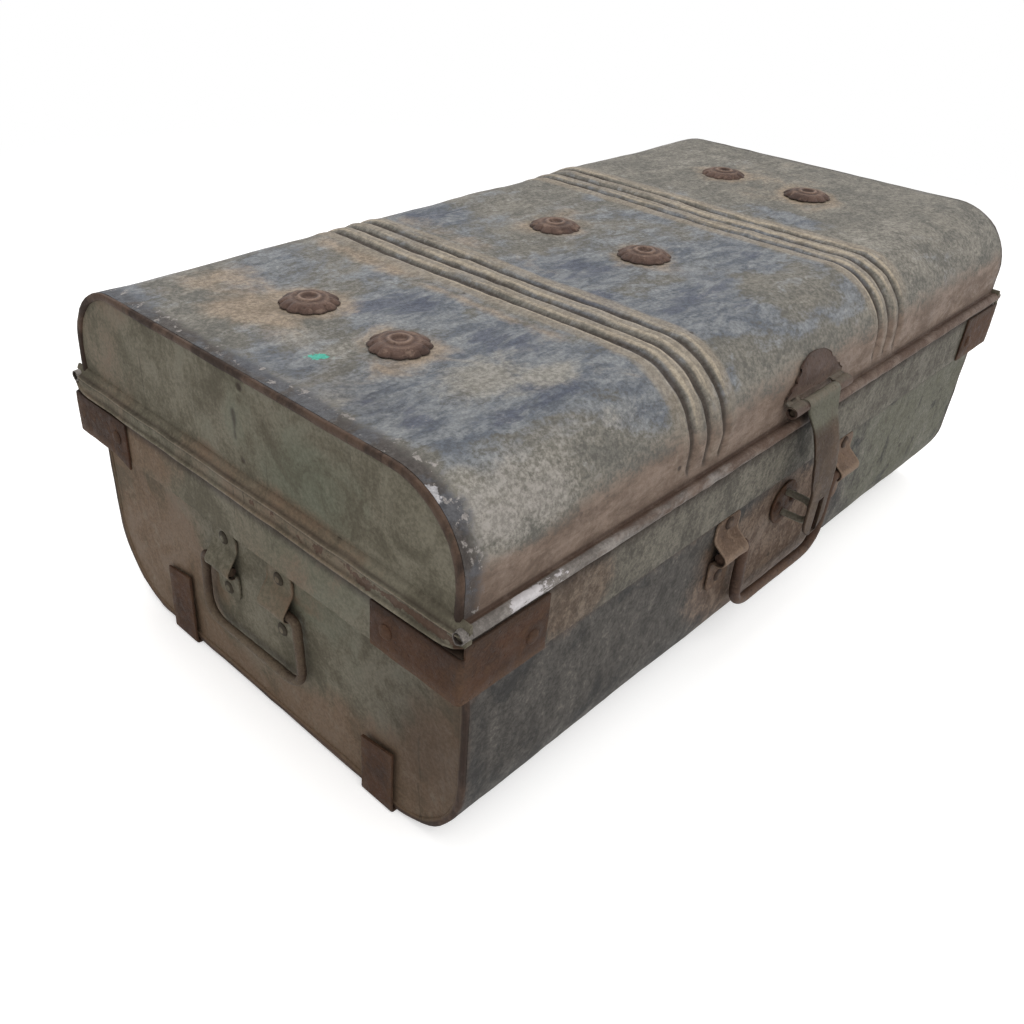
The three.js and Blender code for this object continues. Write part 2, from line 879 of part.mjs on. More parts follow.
function hingeLidLeaf(centreX) {
  const foot = lidBottom + 2 * beadRadius + lidLeafRise - hingeKnuckleRadius;
  const from = centreX - hingeWidth / 2;
  const to = centreX + hingeWidth / 2;
  let leaf = lidPlate(hingeSheet, 1, rectangle(from, foot, to, foot + lidLeafHeight));
  const wall = lidDepth / 2 + seatGap;
  const shoulder = foot + hingeSheet;
  const arm = [
    [wall, foot],
    [rimDepth / 2, foot - hingeSheet],
    [hingeAxisOut - hingeSheet, hingeAxisZ + hingeSheet],
    [hingeAxisOut, hingeAxisZ],
    [hingeAxisOut + hingeSheet, hingeAxisZ + hingeKnuckleRadius - hingeSheet],
    [rimDepth / 2 + hingeSheet, shoulder],
    [wall + hingeSheet, shoulder + hingeSheet],
    [wall, shoulder],
  ];
  for (const side of [-1, 1]) {
    const middle = centreX + side * knuckleWidth;
    leaf = leaf.add(alongX(arm, middle - knuckleWidth / 2, middle + knuckleWidth / 2));
    leaf = leaf.add(hingeKnuckle(knuckleWidth, middle));
  }
  const face = lidDepth / 2 + seatGap + hingeSheet - seatGap;
  for (const head of hingeHeads(centreX, foot + lidLeafHeight / 2, face)) {
    leaf = leaf.add(head);
  }
  return leaf.subtract(hingeBore());
}

// Skid straps

const skidReach = tubReachAt(Math.max(...skids.map(({ rise }) => rise))) + seatGap;

function skidStrap({ y, rise }) {
  const outer = skidReach + skidSheet;
  const outline = [
    [-outer, rise],
    [-outer, 0],
    [outer, 0],
    [outer, rise],
    [skidReach, rise],
    [skidReach, skidSheet],
    [-skidReach, skidSheet],
    [-skidReach, rise],
  ];
  let strap = alongY(outline, y - skidWidth / 2, y + skidWidth / 2);
  const z = rise - skidRivetInset;
  const wall = tubReachAt(z) - seamRise + seatGap;
  for (const side of [-1, 1]) {
    const dome = turned(
      [
        [0, 0],
        [rivetHeadRadius, 0],
        [rivetHeadRadius * Math.SQRT1_2, rivetHeadHeight * Math.SQRT1_2],
        [0, rivetHeadHeight],
      ],
      rivetSides,
    ).rotate([0, side * 90, 0]);
    strap = strap.add(dome.translate([side * (outer - seatGap), y, z]));
    const near = Math.min(side * wall, side * outer);
    const far = Math.max(side * wall, side * outer);
    strap = strap.add(alongX(circle(y, z, rivetShankRadius, rivetSides), near, far));
  }
  return strap;
}

// Materials

function paint(color, roughness, metalness) {
  return new THREE.MeshStandardMaterial({ color, roughness, metalness });
}

const tubPaint = () => paint(0x4e524b, 0.75, 0.2);
const endPaint = () => paint(0x5a5c4e, 0.75, 0.2);
const lidPaint = () => paint(0x6a6e72, 0.7, 0.2);
const rustSteel = () => paint(0x3d2b25, 0.85, 0.3);
const wornSteel = () => paint(0x6e665c, 0.6, 0.5);

// The origin lies under the middle of the whole part, from the hasp's face to the hinges' backs.
const frontReach = haspAxisOut + strapBellyOut + haspSheet / 2;
const backReach = hingeAxisOut + hingeKnuckleRadius;
const trunk = new THREE.Group();
trunk.position.set(0, (frontReach - backReach) / 2, 0);

function place(name, solid, material, parent = trunk) {
  const mesh = new THREE.Mesh(toGeometry(solid), material);
  mesh.name = name;
  parent.add(mesh);
  return mesh;
}

// Tub, with the rivet holes of its brackets and handles

const drillDepth = overrun;
const sides = [
  { name: "left", side: -1 },
  { name: "right", side: 1 },
];
const faces = [
  { name: "front", side: -1 },
  { name: "back", side: 1 },
];

function handleRivets(handle) {
  const places = [];
  for (const lug of [-1, 1]) {
    for (const row of [-1, 1]) {
      places.push({
        lug,
        row,
        across: handle.centre + (lug * lugSpread(handle)) / 2,
        z: pivotZ(handle) + (row * handle.rivetSpread) / 2,
      });
    }
  }
  return places;
}

let shell = tubShell();
for (const { across, z } of handleRivets(frontHandle)) {
  shell = shell.subtract(holeAlongY(across, z, -farY, -farY + overrun + drillDepth));
}
for (const { side } of faces) {
  for (const end of [-1, 1]) {
    const from = side < 0 ? -farY : 0;
    const to = side < 0 ? 0 : farY;
    shell = shell.subtract(holeAlongY(end * bracketRivetX, bracketRivetZ, from, to));
  }
}
place("tub_shell", shell, tubPaint());

for (const { name, side } of sides) {
  let end = tubEnd(side);
  const from = side < 0 ? -farX : 0;
  const to = side < 0 ? 0 : farX;
  for (const { across, z } of handleRivets(endHandle)) {
    end = end.subtract(holeAlongX(across, z, from, to));
  }
  for (const face of [-1, 1]) {
    end = end.subtract(holeAlongX(face * bracketRivetY, bracketRivetZ, from, to));
  }
  place(`tub_end_${name}`, end, endPaint());
}

for (const skid of skids) place(skid.name, skidStrap(skid), rustSteel());

for (const face of faces) {
  for (const end of sides) {
    const name = `${face.name}_${end.name}`;
    let angle = bracket(end.side, face.side);
    const fromX = end.side < 0 ? -farX : 0;
    const fromY = face.side < 0 ? -farY : 0;
    const x = end.side * bracketRivetX;
    const y = face.side * bracketRivetY;
    angle = angle.subtract(holeAlongY(x, bracketRivetZ, fromY, fromY + farY));
    angle = angle.subtract(holeAlongX(y, bracketRivetZ, fromX, fromX + farX));
    place(`corner_bracket_${name}`, angle, rustSteel());
    const shellRivet = place(
      `bracket_rivet_long_${name}`,
      rivet(bracketSheet + seatGap + sheet),
      rustSteel(),
    );
    shellRivet.position.set(x, (face.side * rimDepth) / 2, bracketRivetZ);
    shellRivet.rotation.x = (-face.side * Math.PI) / 2;
    const endRivet = place(
      `bracket_rivet_end_${name}`,
      rivet(bracketSheet + seatGap + panelInset),
      rustSteel(),
    );
    endRivet.position.set((end.side * rimLength) / 2, y, bracketRivetZ);
    endRivet.rotation.y = (end.side * Math.PI) / 2;
  }
}

// Handles with their lugs and rivets

function addHandle(label, handle, wall, spin) {
  const outline = lugOutline(handle);
  for (const lug of [-1, 1]) {
    const across = handle.centre + (lug * lugSpread(handle)) / 2;
    let plate = alongX(
      outline.map(([out, z]) => [wall + out, z]),
      across - handle.lugWidth / 2,
      across + handle.lugWidth / 2,
    );
    for (const row of [-1, 1]) {
      const z = pivotZ(handle) + (row * handle.rivetSpread) / 2;
      plate = plate.subtract(holeAlongY(across, z, 0, wall + overrun));
    }
    const lugName = lug < 0 ? "a" : "b";
    const mesh = place(`${label}_lug_${lugName}`, plate, rustSteel());
    mesh.applyMatrix4(spin);
  }
  for (const { lug, row, across, z } of handleRivets(handle)) {
    const name = `${label}_rivet_${lug < 0 ? "a" : "b"}_${row < 0 ? "lower" : "upper"}`;
    const mesh = place(name, rivet(lugSheet + seatGap + sheet), rustSteel());
    mesh.position.set(across, wall + seatGap + lugSheet, z);
    mesh.rotation.x = -Math.PI / 2;
    mesh.updateMatrix();
    mesh.applyMatrix4(spin);
  }
  const path = bailPath(handle, (a, z) => {
    const point = new THREE.Vector3(handle.centre + a, wall + handle.standoff, z);
    return point.applyMatrix4(spin);
  });
  place(`${label}_bail`, rod(path, handle.wire, bailSteps), rustSteel());
}

// Each handle is drawn on a wall that faces +Y. Leaning it back by the wall's slope, then turning it by
// quarter turns, brings it to its own wall.
function spinFor(quarterTurns, wall, height, lean) {
  return new THREE.Matrix4()
    .makeRotationZ((quarterTurns * Math.PI) / 2)
    .multiply(new THREE.Matrix4().makeTranslation(0, wall, height))
    .multiply(new THREE.Matrix4().makeRotationX(-lean))
    .multiply(new THREE.Matrix4().makeTranslation(0, -wall, -height));
}

const endRise = bandBottom - flareRise - floorZ;
const endLean = Math.atan((bodyLengthTop - bodyLengthBottom) / 2 / endRise);

addHandle(
  "front_handle",
  { ...frontHandle, centre: -frontHandle.centre },
  frontWall,
  spinFor(2, frontWall, pivotZ(frontHandle), 0),
);
for (const { name, side } of sides) {
  addHandle(
    `${name}_handle`,
    { ...endHandle, centre: -side * endHandle.centre },
    endWall,
    spinFor(-side, endWall, pivotZ(endHandle), endLean),
  );
}

// Staple and its plate

place("staple_plate", staplePlate(), rustSteel());
place("staple", rod(staplePath(), stapleWire, stapleSteps), rustSteel());

// Hinges

for (const { name, side } of sides) {
  const centreX = (side * hingeSpacing) / 2;
  place(`hinge_base_leaf_${name}`, hingeBaseLeaf(centreX), rustSteel());
  place(`hinge_lid_leaf_${name}`, hingeLidLeaf(centreX), rustSteel());
  const pin = place(
    `hinge_pin_${name}`,
    pinAlongX(hingePinRadius, pinHeadRadius, hingeWidth),
    wornSteel(),
  );
  pin.position.set(centreX, hingeAxisOut, hingeAxisZ);
}

// Lid with its rosettes and hasp

place("lid_shell", lidShell(), lidPaint());
for (const { name, side } of sides) place(`lid_end_${name}`, lidEnd(side), endPaint());

const columns = ["left", "middle", "right"];
const rosetteSolid = rosette();
columns.forEach((column, i) => {
  for (const face of faces) {
    const mesh = place(`rosette_${column}_${face.name}`, rosetteSolid, rustSteel());
    mesh.position.set(
      patternCentreX + (i - 1) * rosettePitchX,
      rosetteCentreY + (face.side * rosettePitchY) / 2,
      lidTop + seatGap,
    );
  }
});

place("hasp_leaf", haspLeaf(), rustSteel());
place("hasp_strap", haspStrap(), rustSteel());
const haspPin = place(
  "hasp_pin",
  pinAlongX(haspPinRadius, haspKnuckleRadius - boreGap, haspBarWidth),
  wornSteel(),
);
haspPin.position.set(haspX, haspAxisY, haspAxisZ);

export default trunk;
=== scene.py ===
import json
import math

import bmesh
import bpy
import numpy as np
from bpy.props import FloatProperty, FloatVectorProperty, PointerProperty
from mathutils import Matrix, Vector, noise

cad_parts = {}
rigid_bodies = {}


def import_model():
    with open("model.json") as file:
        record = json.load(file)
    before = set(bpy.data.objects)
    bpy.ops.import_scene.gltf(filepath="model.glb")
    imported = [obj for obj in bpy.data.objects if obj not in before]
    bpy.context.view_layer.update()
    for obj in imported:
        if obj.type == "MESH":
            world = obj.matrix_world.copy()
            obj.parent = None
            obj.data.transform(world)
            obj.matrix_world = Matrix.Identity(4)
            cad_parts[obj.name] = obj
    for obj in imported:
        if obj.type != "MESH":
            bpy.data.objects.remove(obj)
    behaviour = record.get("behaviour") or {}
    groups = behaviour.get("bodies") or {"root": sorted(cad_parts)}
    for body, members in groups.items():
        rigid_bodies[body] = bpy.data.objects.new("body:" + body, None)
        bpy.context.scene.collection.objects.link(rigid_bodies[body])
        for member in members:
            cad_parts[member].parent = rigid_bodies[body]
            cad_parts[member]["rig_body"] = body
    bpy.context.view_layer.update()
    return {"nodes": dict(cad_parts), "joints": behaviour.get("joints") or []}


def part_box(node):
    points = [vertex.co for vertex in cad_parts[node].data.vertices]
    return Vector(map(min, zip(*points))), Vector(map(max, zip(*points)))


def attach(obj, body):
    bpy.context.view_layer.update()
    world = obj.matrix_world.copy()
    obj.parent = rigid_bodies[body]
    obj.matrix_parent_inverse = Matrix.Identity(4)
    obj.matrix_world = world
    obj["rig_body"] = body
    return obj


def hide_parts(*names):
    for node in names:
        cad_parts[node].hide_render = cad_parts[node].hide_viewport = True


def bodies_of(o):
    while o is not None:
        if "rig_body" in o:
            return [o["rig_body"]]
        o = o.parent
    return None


bl_info = {
    "name": "Sheet-steel travel trunk",
    "version": (1, 0, 0),
    "blender": (4, 5, 0),
    "location": "3D View > Sidebar > Trunk",
    "description": "Dresses a packed trunk with worn paint, rolled seams, rusty straps and wire handles",
    "category": "Mesh",
}

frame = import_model()


def middle(node):
    low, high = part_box(node)
    return (low + high) / 2


# Sizes of the sheet-metal pieces, in metres. Each y is measured from the trunk's own middle.
MID_Y = middle("tub_shell").y
# The rim strip, the lid's outside with the radius of its long corners, and the rolled bead at its foot
RIM_X, RIM_Y = 0.335, 0.185
LID_X, LID_Y, LID_TOP, LID_CORNER, LID_END_FOOT = 0.330, 0.1781, 0.2546, 0.050, 0.1715
BEAD, BEAD_Y, BEAD_Z = 0.0039, 0.1811, 0.1829
# The tub's body, the wider band under the rim and the neck inside the lid, as half depths and half lengths
BODY_Y, BAND_Y, NECK_Y = 0.1785, 0.183, 0.1765
BODY_X_TOP, BODY_X_FOOT, BAND_X, NECK_X = 0.3215, 0.3185, 0.333, 0.3269
# Heights of the band, of the ledges that the lid rests on, of the neck and of the tub's bottom
BAND_FOOT, FLARE, LEDGE, END_LEDGE, NECK_TOP, FLOOR = 0.1415, 0.004, 0.1787, 0.1712, 0.1877, 0.0023
# The tub's lower corners, the thickness of the sheet, and how far a seam stands out from its end plate
CORNER_REACH, CORNER_RISE = 0.056, 0.062
SHEET, SEAM_RISE, SHELL_GAP = 0.0008, 0.0015, 0.0026
# How far inside the outline an end plate's field stops, hidden by its seam
FIELD_INSET = 0.004
# The middle of the lid's pattern, how far each group of grooves is from it, and how far apart the grooves
# of a group are
PATTERN_X, PATTERN_Y, GROOVE_GROUP, GROOVE_PITCH = -0.006, 0.0015, 0.119, 0.0165
# How far the rosettes are from the pattern's middle, along the lid and across it
ROSETTE_X, ROSETTE_Y = 0.235, 0.0407
SIDES = (("left", -1), ("right", 1))
FACES = (("front", -1), ("back", 1))


def at(x, y, z):
    """A place measured from the trunk's own middle."""
    return Vector((x, y + MID_Y, z))


# Sizes and colours that a user would change


def srgb(red, green, blue):
    """A colour as it is seen, from 0 to 255, turned into the linear values that a shader takes."""
    linear = []
    for value in (red, green, blue):
        share = value / 255
        linear.append(share / 12.92 if share <= 0.04045 else ((share + 0.055) / 1.055) ** 2.4)
    return tuple(linear)


def colour(name, what, red, green, blue):
    return FloatVectorProperty(
        name=name, description=what, subtype="COLOR", size=3, min=0, max=1,
        default=srgb(red, green, blue),
    )


def length(name, what, default):
    return FloatProperty(name=name, description=what, default=default, min=0, unit="LENGTH")


class TrunkSizes(bpy.types.PropertyGroup):
    """Sizes of the pressed, rolled and worn shapes."""

    groove_depth: length("Groove depth", "How deep the lid's grooves are pressed", 0.0024)
    groove_width: length("Groove width", "Half width of a pressed groove", 0.0034)
    ridge_rise: length("Ridge rise", "How far the sheet swells beside the grooves", 0.0011)
    lid_dents: length("Lid dents", "How far the lid's sheet is dented", 0.0011)
    tub_dents: length("Tub dents", "How far the tub's sheet is dented", 0.0009)
    seam_width: length("Seam width", "Width of the rolled seam round each end", 0.0048)
    strap_wear: length("Strap wear", "How uneven the brackets and straps are", 0.0004)
    lobe_depth: length("Lobe depth", "How deep the rosettes are scalloped", 0.0016)


class TrunkColours(bpy.types.PropertyGroup):
    """Colours of the paint layers, the rust and the bare steel."""

    slate: colour("Slate", "Lighter tone of the lid's blue-grey coat", 124, 128, 132)
    ink: colour("Ink", "Darkest blue strokes of the lid", 74, 79, 93)
    khaki: colour("Khaki", "Grey-green coat under the slate", 126, 121, 111)
    cream: colour("Cream", "Pale worn primer", 148, 143, 135)
    tan: colour("Tan", "Tan stain round the rosettes and grooves", 153, 136, 116)
    umber: colour("Umber", "Lighter tone of the brown film on the lid's front", 126, 108, 95)
    olive: colour("Olive", "Paint of the ends", 113, 108, 93)
    earth: colour("Earth", "Brown stain on the ends and the front", 108, 88, 70)
    pitch: colour("Pitch", "Dark blue-grey paint of the tub", 74, 70, 65)
    moss: colour("Moss", "Green-grey paint of the tub", 92, 91, 77)
    rust: colour("Rust", "Dark rust of the straps", 72, 49, 35)
    # Soot is the dirt in pits, and also the colour of painted shade in creases, hollows and under overhangs
    soot_and_shade: colour("Soot", "Dirt in seams and grooves", 44, 33, 27)
    steel: colour("Steel", "Bare scraped steel", 176, 174, 176)


def sizes():
    return bpy.context.scene.trunk_sizes


def colours():
    return bpy.context.scene.trunk_colours


# Modelling by hand, in edit mode


def begin(name, place):
    """One point to draw from: a tiny plane, merged to its middle."""
    if bpy.context.mode != "OBJECT":
        bpy.ops.object.mode_set(mode="OBJECT")
    bpy.ops.object.select_all(action="DESELECT")
    bpy.ops.mesh.primitive_plane_add(size=0.001, location=place)
    piece = bpy.context.object
    piece.name = piece.data.name = name
    bpy.ops.object.transform_apply(location=True, rotation=True, scale=True)
    bpy.ops.object.mode_set(mode="EDIT")
    bpy.ops.mesh.select_mode(type="VERT")
    bpy.ops.mesh.select_all(action="SELECT")
    bpy.ops.mesh.merge(type="CENTER")
    return piece


def pull(step):
    """Extrudes what is selected by a step."""
    bpy.ops.mesh.extrude_region_move(TRANSFORM_OT_translate={"value": tuple(step)})


def draw(name, points, closed=False):
    """A line drawn from point to point, left selected."""
    piece = begin(name, points[0])
    ends = list(points) + ([points[0]] if closed else [])
    for here, there in zip(ends, ends[1:]):
        pull(Vector(there) - Vector(here))
    bpy.ops.mesh.select_all(action="SELECT")
    if closed:
        bpy.ops.mesh.remove_doubles(threshold=1e-6)
    return piece


def sweep(steps):
    """Carries the selected line through a list of steps, which leaves a sheet."""
    for step in steps:
        pull(step)


def pick(test):
    """Selects the faces whose middle passes a test."""
    bpy.ops.mesh.select_mode(type="FACE")
    bpy.ops.mesh.select_all(action="DESELECT")
    data = bpy.context.object.data
    mesh = bmesh.from_edit_mesh(data)
    for face in mesh.faces:
        if test(face.calc_center_median()):
            face.select_set(True)
    mesh.select_flush_mode()
    bmesh.update_edit_mesh(data)


def tidy_mesh():
    """Merges doubles and turns all faces the same way."""
    bpy.ops.mesh.select_all(action="SELECT")
    bpy.ops.mesh.remove_doubles(threshold=1e-5)
    bpy.ops.mesh.select_all(action="SELECT")
    bpy.ops.mesh.normals_make_consistent(inside=False)


def apply_modifiers(piece):
    for modifier in list(piece.modifiers):
        bpy.ops.object.modifier_apply(modifier=modifier.name)


def finish(piece, thickness=0.0, bevel=0.0, smooth=40):
    """Leaves edit mode, gives the sheet its thickness and its edges their rounding, and smooths it."""
    if bpy.context.mode != "OBJECT":
        tidy_mesh()
        bpy.ops.object.mode_set(mode="OBJECT")
    if thickness:
        solid = piece.modifiers.new("thickness", "SOLIDIFY")
        solid.thickness = thickness
        solid.offset = -1
        solid.use_even_offset = True
    if bevel:
        edge = piece.modifiers.new("edges", "BEVEL")
        edge.width = bevel
        edge.segments = 2
        edge.limit_method = "ANGLE"
        edge.angle_limit = math.radians(35)
        edge.harden_normals = False
    apply_modifiers(piece)
    if thickness and not bevel:
        count = len(piece.data.vertices)
        mark(piece, "inside", 1.0 * (np.arange(count) >= count // 2))
    bpy.ops.object.shade_smooth_by_angle(angle=math.radians(smooth))
    return piece


def face_outwards(piece, point, direction):
    """Turns an open sheet over if the face nearest a point looks the wrong way."""
    best = min(piece.data.polygons, key=lambda face: (face.center - point).length)
    if best.normal.dot(direction) < 0:
        piece.data.flip_normals()


def points_of(piece):
    """The places of a piece's points, one to a row."""
    places = np.empty(len(piece.data.vertices) * 3, np.float32)
    piece.data.vertices.foreach_get("co", places)
    return places.reshape(-1, 3).astype(float)


def mould(piece, shape):
    """Moves every point of a piece to where a function puts it."""
    before = [(vertex.co.copy(), vertex.normal.copy()) for vertex in piece.data.vertices]
    after = [tuple(shape(place, normal)) for place, normal in before]
    piece.data.vertices.foreach_set("co", np.array(after, np.float32).ravel())
    piece.data.update()


def ripple(place, size, seed=0.0):
    """A smooth wave from -1 to 1 over a piece."""
    return noise.noise(place / size + Vector((seed, seed * 1.7, seed * 0.6)))


def wear(piece, amount, size, seed=0.0, where=None):
    """Makes a piece uneven along its normals."""

    def worn(place, normal):
        share = 1.0 if where is None else where(place)
        return place + normal * (amount * share * ripple(place, size, seed))

    mould(piece, worn)


def mark(piece, name, shares):
    """Stores how strongly a mark shows at each point, or all over, for the material to read."""
    attribute = piece.data.attributes.get(name) or piece.data.attributes.new(name, "FLOAT", "POINT")
    shares = np.broadcast_to(np.clip(shares, 0, 1), len(piece.data.vertices))
    attribute.data.foreach_set("value", shares.astype(np.float32))


def bump(distance, radius=1, power=2):
    """A soft spot: 1 at its middle, falling away over a radius."""
    return np.exp(-np.abs(distance / radius) ** power)


def oval(u, v, middle_u, middle_v, half_u, half_v):
    """How far each point is from the middle of an oval, where 1 is its border."""
    return np.hypot((u - middle_u) / half_u, (v - middle_v) / half_v)


def patches(u, v, rows):
    """The strongest patch at each point. A row holds a patch's middle, its half widths and its strength."""
    return np.maximum.reduce([strength * bump(oval(u, v, *place)) for *place, strength in rows])


def eased(share):
    """A share from 0 to 1 that starts and ends softly."""
    return share * share * (3 - 2 * share)


def clamp(value, low=0, high=1):
    return min(high, max(low, value))


def settle(piece, body, slot, material, *nodes):
    """Gives a finished piece its material and its body, and lets it stand for its CAD nodes."""
    piece.data.materials.clear()
    piece.data.materials.append(material)
    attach(piece, body)
    if nodes:
        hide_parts(*nodes)
    return piece


def pivot_of(joint):
    """Where a joint's axis stands in the frame."""
    return Vector(next(item["pos_m"] for item in frame["joints"] if item["name"] == joint))


def body_of(node):
    """The body that a CAD node belongs to."""
    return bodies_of(frame["nodes"][node])[0]


def copy_of(node, name):
    """A welded copy of a CAD node, ready to be worked on in edit mode."""
    if bpy.context.mode != "OBJECT":
        bpy.ops.object.mode_set(mode="OBJECT")
    bpy.ops.object.select_all(action="DESELECT")
    source = frame["nodes"][node]
    piece = bpy.data.objects.new(name, source.data.copy())
    piece.data.name = name
    bpy.context.scene.collection.objects.link(piece)
    piece.select_set(True)
    bpy.context.view_layer.objects.active = piece
    bpy.ops.object.mode_set(mode="EDIT")
    bpy.ops.mesh.select_all(action="SELECT")
    bpy.ops.mesh.remove_doubles(threshold=1e-5)
    bpy.ops.mesh.select_all(action="SELECT")
    bpy.ops.mesh.dissolve_limited(angle_limit=math.radians(1))
    return piece


def loft(name, rows):
    """A grid laid through rows of points. Where a row ends on its first point, the grid closes on itself."""
    if bpy.context.mode != "OBJECT":
        bpy.ops.object.mode_set(mode="OBJECT")
    bpy.ops.object.select_all(action="DESELECT")
    bpy.ops.mesh.primitive_grid_add(x_subdivisions=len(rows[0]) - 1, y_subdivisions=len(rows) - 1)
    piece = bpy.context.object
    piece.name = piece.data.name = name
    places = [tuple(point) for row in rows for point in row]
    if len(piece.data.vertices) != len(places):
        raise RuntimeError(f"{name}: the grid has {len(piece.data.vertices)} points for {len(places)}")
    piece.data.vertices.foreach_set("co", np.array(places, np.float32).ravel())
    piece.data.update()
    return piece


def join(name, pieces):
    """Several finished shells made into one piece."""
    bpy.ops.object.select_all(action="DESELECT")
    for piece in pieces:
        piece.select_set(True)
    bpy.context.view_layer.objects.active = pieces[0]
    bpy.ops.object.join()
    pieces[0].name = pieces[0].data.name = name
    return pieces[0]


def spread(low, high, count):
    """Even steps from one value to another, both included."""
    return [low + (high - low) * i / count for i in range(count + 1)]


def arc(centre_y, centre_z, radius_y, radius_z, start, end, count):
    """Points of an arc as (y, z), with turns in degrees from +y towards +z."""
    turns = [math.radians(turn) for turn in spread(start, end, count)]
    return [(centre_y + radius_y * math.cos(t), centre_z + radius_z * math.sin(t)) for t in turns]


def mirror_line(half):
    """A half outline from the back foot up to the middle, completed towards the front."""
    return half + [(-y, z) for y, z in reversed(half) if abs(y) > 1e-6]


# Materials


def feed(tree, socket, value):
    """Links a socket to another node's output, or sets its value or colour."""
    if hasattr(value, "is_linked"):
        tree.links.new(value, socket)
    elif hasattr(value, "__len__") and len(value) == 3 and socket.type == "RGBA":
        socket.default_value = (*value, 1)
    else:
        socket.default_value = value


def add_node(tree, kind, inputs=None, **settings):
    """A new node with its settings, and with a link or a value for each input that is named."""
    made = tree.nodes.new(kind)
    for key, value in settings.items():
        setattr(made, key, value)
    for key, value in (inputs or {}).items():
        feed(tree, made.inputs[key], value)
    return made


class Finish:
    """A material built of layers of paint, stain and rust, and of painted shade."""

    def __init__(self, name):
        self.material = bpy.data.materials.new(name)
        self.material.use_nodes = True
        self.tree = self.material.node_tree
        self.tree.nodes.clear()
        self.output = self.node("ShaderNodeOutputMaterial")
        self.shader = self.node("ShaderNodeBsdfPrincipled")
        self.tree.links.new(self.shader.outputs[0], self.output.inputs[0])
        self.place = self.node("ShaderNodeTexCoord").outputs["Object"]

    def node(self, kind, inputs=None, **settings):
        return add_node(self.tree, kind, inputs, **settings)

    def moved(self, shift, **settings):
        """The place on the piece, moved along for a pattern of its own."""
        inputs = {"Vector": self.place, "Location": (shift, shift * 1.3, shift * 0.7), **settings}
        return self.node("ShaderNodeMapping", inputs).outputs[0]

    def noise(self, scale, detail=4, rough=0.55, twist=0.0, stretch=(1, 1, 1), turn=(0, 0, 0), shift=0.0):
        """Mottling: scale is how many patches fit in a metre."""
        inputs = {"Vector": self.moved(shift, Scale=stretch, Rotation=turn), "Scale": scale, "Detail": detail,
                  "Roughness": rough, "Distortion": twist}
        return self.node("ShaderNodeTexNoise", inputs).outputs[0]

    def cells(self, scale, shift=0.0):
        """Distance from scattered points, for pits and chips."""
        inputs = {"Vector": self.moved(shift), "Scale": scale}
        return self.node("ShaderNodeTexVoronoi", inputs).outputs["Distance"]

    def mark(self, name):
        return self.node("ShaderNodeAttribute", attribute_name=name).outputs["Fac"]

    def step(self, value, low, high, to_low=0.0, to_high=1.0):
        """Eases from to_low to to_high as a value goes from low to high."""
        inputs = {"From Min": low, "From Max": high, "To Min": to_low, "To Max": to_high, "Value": value}
        return self.node("ShaderNodeMapRange", inputs, interpolation_type="SMOOTHSTEP").outputs[0]

    def sum(self, kind, *values):
        """Values combined two by two: ADD, MULTIPLY, MAXIMUM, SUBTRACT."""
        total = values[0]
        for value in values[1:]:
            total = self.node("ShaderNodeMath", {0: total, 1: value}, operation=kind).outputs[0]
        return total

    def times(self, *values):
        return self.sum("MULTIPLY", *values)

    def weigh(self, *parts):
        """Several noises added, each with its weight."""
        return self.sum("ADD", *[self.times(value, weight) for value, weight in parts])

    def ragged(self, name, grain, reach, low, high, top=1.0):
        """A mark whose border is broken up by a noise."""
        frayed = self.sum("ADD", self.mark(name), self.times(self.sum("SUBTRACT", grain, 0.5), reach))
        return self.step(frayed, low, high, 0, top)

    def over(self, share, below, above, kind="MIX"):
        """A layer of colour laid over another where a share says."""
        inputs = {"Factor": share, "A": below, "B": above}
        return self.node("ShaderNodeMix", inputs, data_type="RGBA", blend_type=kind).outputs["Result"]

    def with_painted_shade(self, paint, share):
        """Paint darkened towards soot where the shade mark is: painted shade in creases, hollows and gaps,
        and under overhangs.
        """
        return self.over(self.times(self.mark("shade"), share), paint, colours().soot_and_shade)

    def primed(self, paint, patch, grain):
        """The paint outside, and the dull primer of a sheet's inner face, freckled with rust."""
        inner = self.over(self.step(grain, 0.42, 0.58), srgb(86, 79, 69), srgb(112, 104, 91))
        inner = self.over(self.step(patch, 0.55, 0.66, 0, 0.6), inner, srgb(92, 68, 52))
        return self.over(self.mark("inside"), paint, inner)

    def done(self, paint, rough, metal, relief, depth, shine):
        """The finished material, from its colour, roughness, metal share, relief and gloss."""
        raised = self.node("ShaderNodeBump", {"Distance": depth, "Strength": 1.0, "Height": relief})
        inputs = {"Base Color": paint, "Specular IOR Level": shine, "Roughness": rough, "Metallic": metal,
                  "Normal": raised.outputs[0]}
        for name, value in inputs.items():
            feed(self.tree, self.shader.inputs[name], value)
        return self.material


